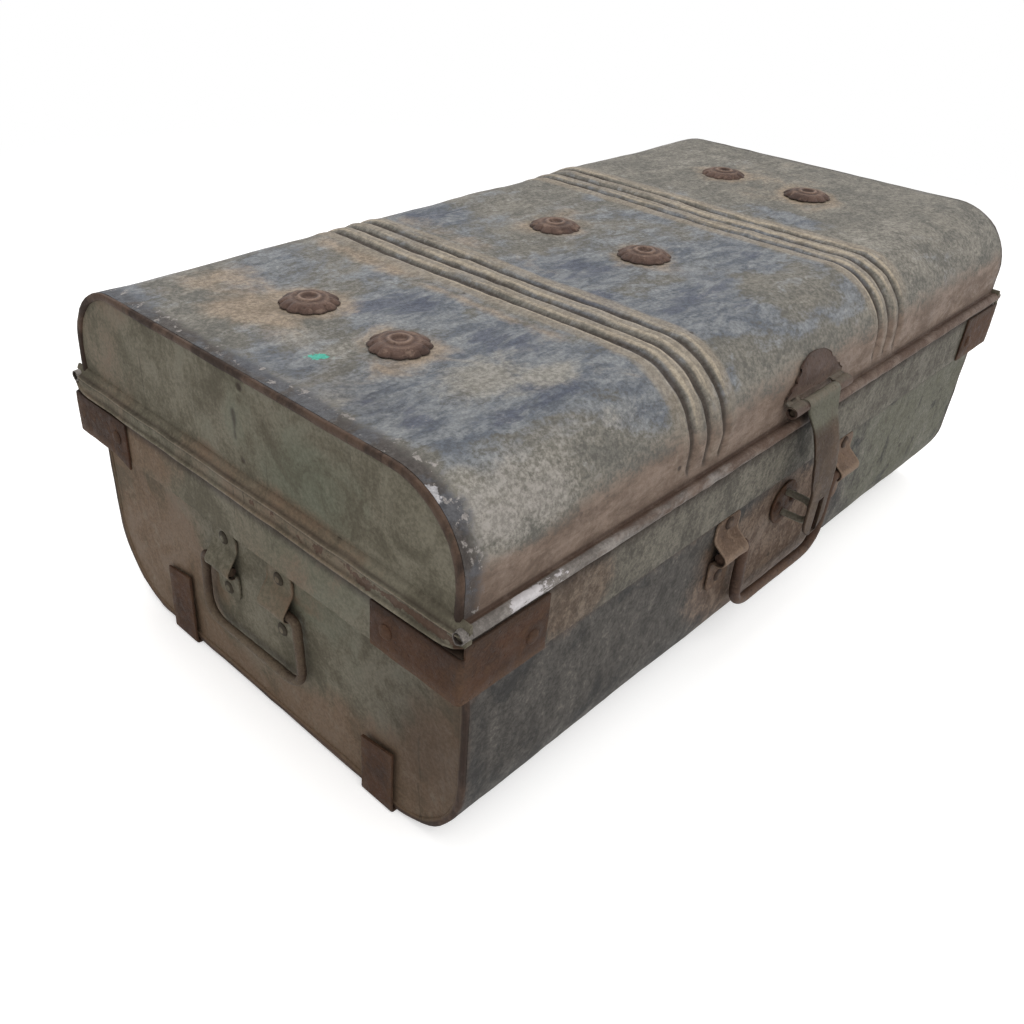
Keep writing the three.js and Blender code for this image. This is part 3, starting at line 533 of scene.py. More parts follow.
def lid_finish():
    """Slate and khaki paint worn to primer, tan round the rosettes and grooves, brown at the front."""
    tint = colours()
    skin = Finish("lid paint")
    broad = skin.noise(9, 4, 0.6, 0.8)
    patch = skin.noise(30, 8, 0.7, 0.6, shift=3)
    brushed = skin.noise(85, 7, 0.74, 0.35, stretch=(0.42, 1.0, 1.0), turn=(0, 0, 0.5), shift=5)
    strokes = skin.noise(55, 6, 0.7, 0.8, stretch=(0.35, 1.0, 1.0), turn=(0, 0, -0.35), shift=12)
    grit = skin.noise(340, 5, 0.78, shift=9)
    grain = skin.weigh((patch, 0.34), (brushed, 0.42), (grit, 0.24))
    paint = skin.over(skin.step(grain, 0.42, 0.58), srgb(104, 102, 96), tint.khaki)
    wide = skin.weigh((broad, 0.4), (grain, 0.6))
    blue = skin.ragged("slate", wide, 3.6, 0.30, 0.55)
    coat = skin.over(skin.step(brushed, 0.40, 0.60), srgb(88, 94, 104), tint.slate)
    paint = skin.over(skin.times(blue, 0.9), paint, coat)
    stroked = skin.weigh((strokes, 0.6), (grain, 0.4))
    paint = skin.over(skin.ragged("slate", stroked, 3.4, 0.72, 0.95, 0.85), paint, tint.ink)
    mixed = skin.weigh((patch, 0.45), (grain, 0.55))
    pale = skin.ragged("cream", mixed, 3.0, 0.30, 0.95, 0.85)
    paint = skin.over(pale, paint, skin.over(skin.step(grit, 0.42, 0.62), srgb(138, 134, 124), tint.cream))
    fleck = skin.step(skin.weigh((brushed, 0.5), (grit, 0.5)), 0.575, 0.64, 0, 0.5)
    paint = skin.over(fleck, paint, srgb(151, 147, 139))
    stain = skin.ragged("halo", patch, 1.7, 0.24, 0.84, 0.88)
    paint = skin.over(stain, paint, skin.over(skin.step(grain, 0.44, 0.57), srgb(138, 123, 106), tint.tan))
    brown = skin.ragged("umber", grain, 1.9, 0.36, 0.86, 0.94)
    film = skin.over(skin.step(brushed, 0.40, 0.64), srgb(102, 85, 73), tint.umber)
    paint = skin.over(brown, paint, film)
    frost = skin.ragged("frost", skin.weigh((grit, 0.35), (patch, 0.65)), 2.6, 0.42, 1.0, 0.75)
    paint = skin.over(frost, paint, srgb(152, 147, 141))
    drag = skin.noise(75, 7, 0.72, 0.5, stretch=(1.5, 0.14, 0.14), shift=15)
    paint = skin.over(skin.ragged("ridge", drag, 1.4, 0.30, 0.85, 0.88), paint, srgb(142, 132, 118))
    # The crests beside the grooves are rubbed pale and given a painted highlight
    paint = skin.over(skin.ragged("crest", drag, 2.6, 0.40, 1.0, 0.78), paint, srgb(176, 164, 145))
    # Painted shade down in the groove valleys
    paint = skin.over(skin.ragged("valley", drag, 1.0, 0.16, 0.85, 0.92), paint, srgb(60, 51, 44))
    edge = skin.over(skin.step(patch, 0.45, 0.55), srgb(66, 60, 57), srgb(72, 73, 78))
    paint = skin.over(skin.ragged("edge", grain, 2.0, 0.38, 0.72, 0.92), paint, edge)
    glint = skin.ragged("glint", skin.noise(150, 5, 0.7, shift=11), 3.4, 0.85, 1.05, 0.8)
    paint = skin.over(glint, paint, srgb(158, 152, 148))
    paint = skin.over(skin.ragged("rim", grain, 1.6, 0.40, 0.72, 0.95), paint, srgb(68, 50, 40))
    chip = skin.ragged("chip", skin.noise(130, 5, 0.7, shift=2), 2.0, 0.58, 0.72)
    paint = skin.over(chip, paint, tint.steel)
    roll = skin.over(skin.step(patch, 0.44, 0.56), srgb(80, 61, 50), srgb(101, 84, 73))
    paint = skin.over(skin.ragged("bead", grain, 1.2, 0.5, 0.9, 0.92), paint, roll)
    # The bead's crown is rubbed to bare steel and carries a painted highlight
    smear = skin.noise(70, 6, 0.7, 0.4, stretch=(0.30, 1, 1), shift=6)
    bare = skin.over(skin.step(grain, 0.44, 0.58), srgb(108, 104, 100), srgb(142, 137, 132))
    paint = skin.over(skin.ragged("pale", smear, 1.8, 0.34, 0.80, 0.85), paint, bare)
    # Painted glints: bright specks on the bead's crown
    specks = skin.noise(170, 5, 0.7, stretch=(0.5, 1, 1), shift=8)
    paint = skin.over(skin.ragged("spark", specks, 3.0, 0.72, 0.95), paint, srgb(196, 192, 194))
    paint = skin.over(skin.ragged("nick", grit, 0.9, 0.40, 0.62, 0.9), paint, srgb(48, 40, 36))
    # Painted shade where the shade mark is
    paint = skin.with_painted_shade(paint, 0.94)
    pits = skin.times(skin.step(skin.cells(36, 4), 0.03, 0.085, 1, 0), skin.step(broad, 0.50, 0.56))
    paint = skin.over(skin.times(pits, 0.8), paint, tint.soot_and_shade)
    paint = skin.over(skin.ragged("spot", grit, 1.2, 0.5, 0.6), paint, srgb(70, 172, 152))
    paint = skin.primed(paint, patch, grain)
    # Seen from inside, the grooves are ridges, with a painted highlight on each and painted shade beside it
    rubbed = skin.times(skin.mark("valley"), skin.mark("inside"), 0.6)
    paint = skin.over(rubbed, paint, srgb(132, 123, 108))
    beside = skin.times(skin.mark("crest"), skin.mark("inside"), 0.7)
    paint = skin.over(beside, paint, srgb(58, 50, 42))
    speck = skin.times(
        skin.sum("SUBTRACT", 1.0, skin.times(brown, 0.6)), skin.step(grit, 0.38, 0.62, 0.40, 0.0)
    )
    paint = skin.over(speck, paint, srgb(86, 82, 80), "MULTIPLY")
    relief = skin.weigh((grain, 0.7), (grit, 0.3))
    rough = skin.step(grain, 0.42, 0.58, 0.80, 0.56)
    return skin.done(paint, rough, skin.times(chip, 0.6), relief, 0.0011, 0.32)


def end_finish():
    """Olive paint with brown stains, small dark dings, a dark rolled seam, painted highlights on the rim
    strip's ridges and painted shade.
    """
    tint = colours()
    skin = Finish("end paint")
    broad = skin.noise(9, 4, 0.55, 0.6, shift=1)
    patch = skin.noise(22, 8, 0.66, 0.7, stretch=(1, 1, 0.8), shift=2)
    fine = skin.noise(110, 7, 0.74, 0.5, stretch=(1, 1, 0.8), shift=4)
    grit = skin.noise(420, 4, 0.75, shift=7)
    grain = skin.weigh((patch, 0.58), (fine, 0.28), (grit, 0.14))
    paint = skin.over(skin.step(grain, 0.43, 0.57), srgb(96, 91, 77), tint.olive)
    cloudy = skin.weigh((broad, 0.5), (grain, 0.5))
    paint = skin.over(skin.ragged("green", cloudy, 3.2, 0.45, 0.85, 0.8), paint, srgb(98, 101, 86))
    paint = skin.over(skin.ragged("earth", cloudy, 3.0, 0.38, 0.8, 0.9), paint, tint.earth)
    paint = skin.over(skin.step(fine, 0.54, 0.66, 0, 0.3), paint, srgb(120, 113, 97))
    paint = skin.over(skin.step(patch, 0.38, 0.46, 0.32, 0), paint, srgb(72, 67, 55))
    paint = skin.over(skin.ragged("dark", grain, 1.6, 0.4, 0.7, 0.9), paint, srgb(54, 47, 37))
    seam = skin.over(skin.step(patch, 0.44, 0.56), srgb(46, 32, 25), srgb(76, 57, 45))
    paint = skin.over(skin.ragged("seam", grain, 1.4, 0.48, 0.72, 0.96), paint, seam)
    bare = skin.ragged("strip", skin.noise(60, 6, 0.7, 0.3, shift=3), 3.0, 0.66, 0.80, 0.85)
    paint = skin.over(bare, paint, srgb(76, 54, 42))
    # Painted highlights on the ridges of the lid's rim strip
    paint = skin.over(skin.ragged("lip", grain, 1.4, 0.4, 0.9, 0.7), paint, srgb(128, 117, 101))
    # Painted shade where the shade mark is
    paint = skin.with_painted_shade(paint, 0.92)
    paint = skin.primed(paint, patch, grain)
    dings = skin.times(skin.step(skin.cells(24, 2), 0.035, 0.085, 1, 0), skin.step(broad, 0.48, 0.56))
    paint = skin.over(skin.times(dings, 0.85), paint, srgb(48, 38, 30))
    scratch = skin.noise(95, 3, 0.6, 0.9, stretch=(1, 1, 0.10), turn=(0.35, 0, 0), shift=6)
    paint = skin.over(skin.step(scratch, 0.66, 0.72, 0, 0.5), paint, srgb(56, 50, 40))
    paint = skin.over(skin.step(grit, 0.38, 0.62, 0.24, 0.0), paint, srgb(92, 88, 82), "MULTIPLY")
    relief = skin.weigh((grain, 0.8), (grit, 0.2), (dings, -0.8))
    rough = skin.step(grain, 0.42, 0.58, 0.82, 0.62)
    return skin.done(paint, rough, 0.0, relief, 0.0007, 0.25)


def tub_finish():
    """Dark blue-grey and green paint over brown, browner round the front handle."""
    tint = colours()
    skin = Finish("tub paint")
    broad = skin.noise(7, 4, 0.55, 0.7, shift=2)
    streak = skin.noise(48, 8, 0.7, 0.4, stretch=(0.7, 1, 0.45), turn=(0, 0.45, 0), shift=1)
    fine = skin.noise(130, 7, 0.75, 0.3, stretch=(0.9, 1, 0.6), turn=(0, 0.3, 0), shift=4)
    grit = skin.noise(430, 4, 0.75, shift=5)
    grain = skin.weigh((streak, 0.42), (fine, 0.38), (grit, 0.20))
    paint = skin.over(skin.step(grain, 0.43, 0.57), srgb(61, 58, 55), tint.pitch)
    green = skin.ragged("moss", skin.weigh((broad, 0.4), (grain, 0.6)), 3.0, 0.35, 0.75, 0.9)
    paint = skin.over(green, paint, tint.moss)
    paint = skin.over(skin.step(grain, 0.54, 0.62, 0, 0.75), paint, srgb(110, 104, 95))
    paint = skin.over(skin.step(streak, 0.38, 0.46, 0.8, 0), paint, srgb(49, 48, 47))
    brown = skin.ragged("earth", skin.weigh((broad, 0.3), (grain, 0.7)), 2.6, 0.42, 0.85, 0.92)
    stain = skin.over(skin.step(fine, 0.44, 0.58), srgb(84, 66, 53), srgb(110, 92, 77))
    paint = skin.over(brown, paint, stain)
    upper = skin.ragged("band", grain, 1.4, 0.35, 0.75, 0.85)
    upper = skin.times(upper, skin.sum("SUBTRACT", 1.0, skin.times(brown, 0.75)))
    band = skin.over(skin.step(grain, 0.43, 0.57), srgb(83, 79, 71), srgb(108, 103, 91))
    paint = skin.over(upper, paint, band)
    # Painted shade along the foot of the band's flare, and dark seams at the tub's corners
    paint = skin.over(skin.ragged("crease", grain, 1.6, 0.42, 0.85, 0.85), paint, srgb(66, 52, 43))
    # Painted shade where the shade mark is
    paint = skin.with_painted_shade(paint, 0.9)
    paint = skin.primed(paint, streak, grain)
    pits = skin.times(skin.step(skin.cells(30, 3), 0.035, 0.08, 1, 0), skin.step(broad, 0.5, 0.56))
    paint = skin.over(skin.times(pits, 0.8), paint, srgb(44, 38, 34))
    paint = skin.over(skin.step(grit, 0.38, 0.62, 0.35, 0.0), paint, srgb(90, 88, 86), "MULTIPLY")
    relief = skin.weigh((grain, 0.8), (grit, 0.2))
    rough = skin.step(grain, 0.42, 0.58, 0.80, 0.60)
    return skin.done(paint, rough, 0.0, relief, 0.0011, 0.25)


def rust_finish(name, body, dark, bright, seed, rough):
    """Rust of one strap or fitting: its body colour, dark pits and bright worn spots."""
    skin = Finish(name)
    broad = skin.noise(30, 5, 0.6, 0.5, shift=seed)
    patch = skin.noise(140, 6, 0.7, 0.3, shift=seed + 2)
    grit = skin.noise(700, 4, 0.7, shift=seed + 4)
    paint = skin.over(skin.step(broad, 0.38, 0.62), body, dark)
    paint = skin.over(skin.step(patch, 0.5, 0.68, 0, 0.6), paint, bright)
    moss = skin.times(skin.mark("moss"), skin.step(broad, 0.34, 0.56, 0.3, 0.95))
    paint = skin.over(moss, paint, srgb(94, 93, 81))
    worn = skin.times(skin.mark("worn"), skin.step(patch, 0.34, 0.56, 0.35, 0.95))
    paint = skin.over(worn, paint, bright)
    # Painted shade where the shade mark is
    paint = skin.with_painted_shade(paint, 0.85)
    pits = skin.step(skin.cells(190, seed), 0.08, 0.22, 1, 0)
    paint = skin.over(skin.times(pits, 0.35), paint, colours().soot_and_shade)
    paint = skin.over(skin.step(grit, 0.35, 0.7, 0.0, 0.35), paint, srgb(90, 80, 74), "MULTIPLY")
    relief = skin.sum("SUBTRACT", skin.weigh((patch, 0.6), (grit, 0.3)), skin.times(pits, 0.3))
    roughness = skin.step(patch, 0.35, 0.65, rough - 0.12, rough + 0.12)
    return skin.done(paint, roughness, 0.0, relief, 0.0008, 0.16)


# Rust of each kind of strap or fitting: body, dark and bright colour, where its pattern starts, and roughness
RUSTS = {
    "strap rust": (None, (56, 39, 29), (88, 67, 52), 1, 0.72),
    "rosette rust": ((92, 72, 63), (66, 49, 42), (142, 121, 108), 3, 0.62),
    "handle wire rust": ((84, 70, 57), (62, 48, 39), (104, 92, 77), 5, 0.66),
    "front wire rust": ((74, 55, 45), (54, 39, 32), (96, 77, 64), 6, 0.62),
    "lug paint": ((106, 87, 73), (82, 65, 53), (130, 111, 95), 7, 0.7),
    "hasp paint": ((83, 68, 56), (63, 50, 40), (110, 102, 90), 9, 0.66),
    "leaf rust": ((88, 74, 68), (66, 50, 42), (108, 92, 82), 10, 0.66),
    "pin steel": ((104, 98, 84), (78, 66, 54), (128, 124, 112), 11, 0.5),
}
PAINTS = {"lid paint": lid_finish, "end paint": end_finish, "tub paint": tub_finish}


def finish_named(name):
    """Each finish is made once and shared."""
    known = bpy.data.materials.get(name)
    if known:
        return known
    if name in PAINTS:
        return PAINTS[name]()
    body, dark, bright, seed, rough = RUSTS[name]
    body = srgb(*body) if body else colours().rust
    return rust_finish(name, body, srgb(*dark), srgb(*bright), seed, rough)


# Outlines shared by the pieces


def lid_half():
    """The lid's outside from the bead up to the middle, at the back, as (y, z)."""
    corner = arc(LID_Y - LID_CORNER, LID_TOP - LID_CORNER, LID_CORNER, LID_CORNER, 0, 90, 16)
    top = [(y, LID_TOP) for y in spread(LID_Y - LID_CORNER, 0, 13)[1:]]
    return corner + top


def tub_half(top):
    """The tub's outside from its neck down to the middle of its bottom, at the back, as (y, z)."""
    line = [(NECK_Y, top), (NECK_Y, LEDGE + 0.0002), (NECK_Y + 0.0004, LEDGE), (BAND_Y - 0.0006, LEDGE)]
    line += [(BAND_Y, LEDGE - 0.0008), (BAND_Y, END_LEDGE + 0.0003)]
    line += [(BAND_Y, z) for z in spread(END_LEDGE - 0.0003, BAND_FOOT, 5)]
    for share in (0.75, 0.5, 0.25, 0):
        line.append((BODY_Y + (BAND_Y - BODY_Y) * eased(share), BAND_FOOT - FLARE * (1 - share)))
    line += [(BODY_Y, z) for z in spread(BAND_FOOT - FLARE, FLOOR + CORNER_RISE, 6)[1:]]
    line += arc(BODY_Y - CORNER_REACH, FLOOR + CORNER_RISE, CORNER_REACH, CORNER_RISE, 0, -90, 18)[1:]
    line += [(y, FLOOR) for y in spread(BODY_Y - CORNER_REACH, 0, 9)[1:]]
    return line


def tub_reach(z):
    """How far the tub's end stands out at a height."""
    if z > LEDGE + 0.0001:
        return NECK_X
    if z >= BAND_FOOT:
        return BAND_X
    if z > BAND_FOOT - FLARE:
        share = (z - BAND_FOOT + FLARE) / FLARE
        return BODY_X_TOP + (BAND_X - BODY_X_TOP) * eased(share)
    return BODY_X_FOOT + (BODY_X_TOP - BODY_X_FOOT) * max(0, z - FLOOR) / (BAND_FOOT - FLARE - FLOOR)


def group_centres():
    return [PATTERN_X - GROOVE_GROUP, PATTERN_X + GROOVE_GROUP]


def groove_centres():
    return [centre + place * GROOVE_PITCH for centre in group_centres() for place in (-1, 0, 1)]


def press_of(x):
    """How far the lid's sheet is pressed in, or swells out, at a place along it."""
    size = sizes()
    press = 0.0
    for centre in groove_centres():
        press -= (size.groove_depth + size.ridge_rise) * math.exp(-(((x - centre) / size.groove_width) ** 2))
    for centre in group_centres():
        press += size.ridge_rise / (1 + math.exp((abs(x - centre) - 0.027) / 0.0028))
    return press


# Where the lid's coats are worn or stained, as rows for patches() over x and y
TAN_PATCHES = (
    (-0.272, 0.060, 0.034, 0.045, 1.0), (-0.262, 0.110, 0.040, 0.030, 0.7),
    (-0.160, 0.080, 0.012, 0.070, 0.8), (-0.165, -0.030, 0.008, 0.090, 0.7),
    (-0.082, 0.080, 0.014, 0.080, 0.7), (0.020, 0.060, 0.030, 0.020, 0.5),
    (0.245, 0.020, 0.060, 0.060, 0.45), (0.200, -0.020, 0.020, 0.080, 0.4),
    (-0.262, -0.055, 0.020, 0.018, 0.7),
)
SLATE_PATCHES = (
    (-0.196, -0.002, 0.035, 0.040, 1.0), (-0.190, -0.075, 0.030, 0.040, 1.0),
    (-0.300, -0.100, 0.026, 0.050, 0.9), (-0.225, -0.128, 0.060, 0.014, 0.8),
    (-0.300, -0.010, 0.014, 0.060, 0.6), (-0.064, -0.022, 0.050, 0.050, 0.8),
    (-0.235, -0.135, 0.080, 0.010, 1.0), (0.010, -0.050, 0.060, 0.020, 0.7),
    (-0.050, -0.110, 0.070, 0.035, 0.9), (0.050, -0.080, 0.040, 0.050, 0.8),
    (0.060, 0.080, 0.050, 0.060, 0.5), (-0.060, 0.100, 0.040, 0.050, 0.5),
    (0.160, -0.060, 0.030, 0.060, 0.5), (0.150, 0.060, 0.030, 0.070, 0.45),
    (-0.180, 0.110, 0.030, 0.040, 0.4), (-0.215, 0.010, 0.022, 0.018, 1.2),
    (-0.218, -0.123, 0.034, 0.010, 1.2), (-0.100, -0.070, 0.026, 0.030, 1.0),
    (-0.060, 0.122, 0.050, 0.040, 0.9), (-0.324, -0.010, 0.008, 0.030, 1.2),
)
CREAM_PATCHES = (
    (-0.238, -0.098, 0.034, 0.022, 1.15), (-0.205, -0.122, 0.034, 0.014, 0.9),
    (-0.275, 0.010, 0.022, 0.016, 0.7), (-0.268, -0.022, 0.020, 0.014, 0.7),
    (-0.322, 0.073, 0.006, 0.030, 0.6), (-0.317, -0.028, 0.006, 0.020, 0.6),
    (-0.285, -0.045, 0.020, 0.020, 0.6), (-0.285, -0.166, 0.050, 0.016, 0.95),
    (-0.215, -0.160, 0.050, 0.014, 0.6), (0.200, -0.110, 0.050, 0.030, 0.4),
    (0.250, 0.070, 0.060, 0.060, 0.5), (-0.030, 0.130, 0.060, 0.030, 0.25),
    (-0.307, -0.158, 0.016, 0.013, 1.2), (-0.313, -0.066, 0.012, 0.012, 0.9),
    (-0.315, 0.070, 0.010, 0.022, 0.7), (0.155, -0.130, 0.050, 0.034, 0.7),
    (-0.250, -0.160, 0.030, 0.016, 0.8),
)
# Small dark nicks on the lid's top: x, y and radius
NICKS = (
    (0.059, 0.085, 0.0035), (-0.1015, 0.0816, 0.0028), (-0.086, 0.057, 0.0022), (-0.205, 0.0635, 0.0032),
    (-0.248, -0.005, 0.0016), (0.150, -0.050, 0.0018),
)


class TRUNK_OT_lid_sheet(bpy.types.Operator):
    """The lid's folded sheet, with its pressed grooves and its rolled bead along the front and back"""

    bl_idname = "trunk.lid_sheet"
    bl_label = "Lid sheet"

    reach = LID_X - SHEET - SEAM_RISE - 0.0003
    foot = BEAD_Z + BEAD + 0.003

    def execute(self, context):
        size = sizes()
        curl = arc(BEAD_Y, BEAD_Z, BEAD, BEAD, -140, 128, 14)
        wall = [(LID_Y, z) for z in spread(BEAD_Z + 0.0042, LID_TOP - LID_CORNER, 4)[:-1]]
        line = mirror_line(curl + wall + lid_half())
        rows = {round(x, 5) for x in spread(-self.reach, self.reach, 60)}
        for centre in group_centres():
            rows = {x for x in rows if abs(x - centre) > 0.037}
            rows |= {round(x, 5) for x in spread(centre - 0.036, centre + 0.036, 48)}
        rows = sorted(rows)
        piece = draw("lid_sheet", [at(rows[0], y, z) for y, z in line])
        sweep([(b - a, 0, 0) for a, b in zip(rows, rows[1:])])
        tidy_mesh()
        bpy.ops.object.mode_set(mode="OBJECT")
        face_outwards(piece, at(0, 0, LID_TOP), Vector((0, 0, 1)))
        piece.data.update()
        mould(piece, self.pressed)
        wear(piece, size.lid_dents * 1.6, 0.075, 2, self.open_sheet)
        wear(piece, size.lid_dents * 0.45, 0.016, 5, self.open_sheet)
        wear(piece, 0.0004, 0.010, 8, lambda place: 1.0 if place.z < self.foot else 0.0)
        wear(piece, 0.0007, 0.013, 14, self.pressed_zone)
        finish(piece, thickness=SHEET, smooth=50)
        self.mark_grooves(piece)
        self.mark_coats(piece)
        self.mark_edges(piece)
        settle(piece, "lid", "lid_paint", finish_named("lid paint"), "lid_shell")
        return {"FINISHED"}

    def pressed(self, place, normal):
        """Where the press leaves a point of the smooth sheet. The grooves run out above the bead."""
        return place + normal * (press_of(place.x) * eased(clamp((place.z - self.foot) / 0.009)))

    def open_sheet(self, place):
        """How free a point is to be dented: held at the seams and at the bead."""
        clear_end = min(1, (self.reach - abs(place.x)) / 0.03)
        return clear_end * clamp((place.z - self.foot) / 0.02)

    def pressed_zone(self, place):
        away = min(abs(place.x - centre) for centre in group_centres())
        return self.open_sheet(place) * clamp((0.034 - away) / 0.006)

    def spots(self, piece):
        """The sheet's points as x, y from the trunk's middle, and z."""
        p = points_of(piece)
        return p[:, 0], p[:, 1] - MID_Y, p[:, 2]

    def mark_grooves(self, piece):
        """Painted shade in the valleys, crests beside them rubbed pale and given a painted highlight, and the
        tan ridges of each group.
        """
        x, y, z = self.spots(piece)
        near = np.abs(x[:, None] - np.array(groove_centres())[None, :]).min(1)
        group = np.abs(x[:, None] - np.array(group_centres())[None, :]).min(1)
        wall = np.clip((z - BEAD_Z - BEAD - 0.002) / 0.006, 0, 1)
        on_top = np.clip((z - LID_TOP + 0.040) / 0.03, 0, 1)
        within = np.clip((0.036 - group) / 0.008, 0, 1) * wall
        mark(piece, "valley", bump(near, 0.0021 + 0.0007 * on_top) * wall)
        mark(piece, "ridge", (0.4 + 0.4 * on_top) * (1 - bump(near, 0.0034)) * within)
        mark(piece, "crest", bump(near - 0.0052, 0.0016) * within * (0.15 + 0.85 * on_top))

    def mark_coats(self, piece):
        """Where each coat of paint is left, and where it is stained or worn away."""
        x, y, z = self.spots(piece)
        on_front = y < -0.12
        halo = patches(x, y, TAN_PATCHES)
        for column, strength in ((-1, 0.95), (0, 0.8), (1, 0.9)):
            for side in (-1, 1):
                away = np.hypot(x - PATTERN_X - column * ROSETTE_X, y - PATTERN_Y - side * ROSETTE_Y)
                faint = 0.75 if side < 0 and column < 0 else 1.0
                halo = np.maximum(halo, strength * faint * bump(away - 0.012, 0.019))
        mark(piece, "halo", halo * (z > LID_TOP - 0.012))
        nick = [bump(np.hypot(x - cx, y - cy), radius * 1.3, 3) for cx, cy, radius in NICKS]
        mark(piece, "nick", np.maximum.reduce(nick) * (z > LID_TOP - 0.01))
        all_over = 0.40 - 0.28 * np.clip((x - 0.10) / 0.08, 0, 1)
        fade = np.clip((z - LID_TOP + 0.040) / 0.025, 0, 1)
        slate = np.maximum(all_over, patches(x, y, SLATE_PATCHES))
        mark(piece, "slate", slate * np.where(y < 0, fade, 1))
        frost = patches(x, z, ((-0.285, 0.232, 0.050, 0.022, 1.0), (-0.22, 0.240, 0.07, 0.016, 0.5)))
        mark(piece, "frost", frost * on_front)
        mark(piece, "cream", patches(x, y, CREAM_PATCHES) * (z > LID_TOP - 0.075))
        front = np.clip((LID_TOP - 0.012 - z) / 0.038, 0, 1) * (y < 0)
        back = np.clip((LID_TOP - 0.02 - z) / 0.04, 0, 1) * (y > 0)
        light = patches(x, z, ((-0.29, 0.232, 0.05, 0.018, 0.55),))
        mark(piece, "umber", np.maximum(front - light, 0.7 * back))
        spot = bump(oval(x, y, -0.2854, -0.0195, 0.0062, 0.0042), 1, 4)
        mark(piece, "spot", spot * (z > LID_TOP - 0.01))

    def mark_edges(self, piece):
        """Worn and chipped edges at the seams with a painted glint near the left one, the rolled bead with a
        painted highlight on its crown, and painted shade under it.
        """
        x, y, z = self.spots(piece)
        side = LID_X - np.abs(x)
        above = z > BEAD_Z + BEAD
        mark(piece, "edge", np.where(x < 0, 1.1, 0.5) * bump(side, 0.0155) * above)
        mark(piece, "rim", bump(side, 0.0026) * above)
        mark(piece, "glint", bump(side - 0.009, 0.007) * above * (x < 0))
        chips = np.maximum.reduce([
            1.1 * bump(np.hypot(x + 0.3290, (y + 0.1535) * 0.8), 0.0052, 3) * (z > 0.235),
            0.55 * bump(np.hypot(x + 0.322, (y + 0.05) * 0.15), 0.007) * (z > 0.25),
            0.5 * bump(np.hypot(x + 0.322, (y - 0.10) * 0.15), 0.007) * (z > 0.25),
        ])
        mark(piece, "chip", chips)
        mark(piece, "bead", z < BEAD_Z + BEAD + 0.001)
        # The bead's crown: bare steel with a painted highlight and painted glints, paler towards the left
        crown = np.clip((np.abs(y) - BEAD_Y + 0.0012) / 0.0015, 0, 1) * (z < BEAD_Z + BEAD + 0.0005) * (y < 0)
        mark(piece, "pale", crown * np.clip(1.10 - (x + LID_X) / 0.33, 0.10, 1))
        mark(piece, "spark", crown * bump(x + 0.285, 0.030))
        # Painted shade under the rolled bead, and a darker patch near the left end of the top
        gloom = patches(x, y, ((-0.302, -0.065, 0.018, 0.040, 0.30),)) * (z > LID_TOP - 0.01)
        under = 0.55 * bump(z - BEAD_Z - BEAD - 0.0012, 0.0016) + 0.8 * (z < BEAD_Z - BEAD * 0.8)
        mark(piece, "shade", np.maximum(under, gloom))


def lid_path(inset, foot):
    """The lid's outline from the back foot over the top to the front foot, as (y, z)."""
    corner = LID_CORNER - inset
    side = arc(LID_Y - LID_CORNER, LID_TOP - LID_CORNER, corner, corner, 0, 90, 12)
    wall = [(LID_Y - inset, z) for z in spread(foot, LID_TOP - LID_CORNER, 5)[:-1]]
    top = [(y, LID_TOP - inset) for y in spread(LID_Y - LID_CORNER, 0, 10)[1:]]
    return mirror_line(wall + side + top)


def tub_path(inset, top):
    """The tub's outline from below the band at the back, under the bottom, to the front, as (y, z)."""
    wall = [(BODY_Y - inset, z) for z in spread(top, FLOOR + CORNER_RISE, 5)[:-1]]
    reach, rise = CORNER_REACH - inset, CORNER_RISE - inset
    corner = arc(BODY_Y - CORNER_REACH, FLOOR + CORNER_RISE, reach, rise, 0, -90, 16)
    bottom = [(y, FLOOR + inset) for y in spread(BODY_Y - CORNER_REACH, 0, 9)[1:]]
    return mirror_line(wall + corner + bottom)


def plate(name, side, levels, half_width, reach, columns=40):
    """An end plate: level by level, as wide as the outline there."""
    rows = []
    for z in levels:
        across = spread(-half_width(z), half_width(z), columns)
        rows.append([at(side * reach(z), y, z) for y in across])
    return loft(name, rows)


def rolled_seam(name, side, path, reach, width):
    """The folded seam that runs round an end, rounded over towards the plate."""
    section = (
        (0.0, -SEAM_RISE - SHEET), (0.0, -0.0007), (0.0005, -0.0002), (0.0014, 0.0), (width * 0.5, 0.0002),
        (width - 0.0012, 0.0), (width - 0.0003, -0.0004), (width, -SEAM_RISE * 0.7),
        (width + 0.0002, -SEAM_RISE - 0.0004),
    )
    rows = [[at(side * (reach(z) + out), y, z) for y, z in path(inset)] for inset, out in section]
    return loft(name, rows)


def seam_shares(piece, inner):
    """How dark each line of a rolled seam is, from its outer edge to its inner one."""
    shares = np.array([1, 1, 1, 1, 0.6, 0.3, 0.1, 0, 0]) * (1 - inner) + inner
    return np.repeat(shares, len(piece.data.vertices) // len(shares))


def turn_towards(piece, direction):
    """Turns an open sheet over if most of it looks away from a direction."""
    total = sum((face.normal.dot(direction) * face.area for face in piece.data.polygons), 0.0)
    if total < 0:
        piece.data.flip_normals()


# Dark dings on the lid's near end, as rows for patches() over y and z
DINGS = (
    (0.002, 0.2249, 0.004, 0.008, 0.8), (-0.001, 0.2135, 0.0035, 0.006, 0.6),
    (0.070, 0.226, 0.012, 0.008, 0.35), (-0.150, 0.192, 0.006, 0.014, 0.3),
    (0.052, 0.215, 0.006, 0.006, 0.3), (-0.09, 0.22, 0.02, 0.006, 0.25),
)


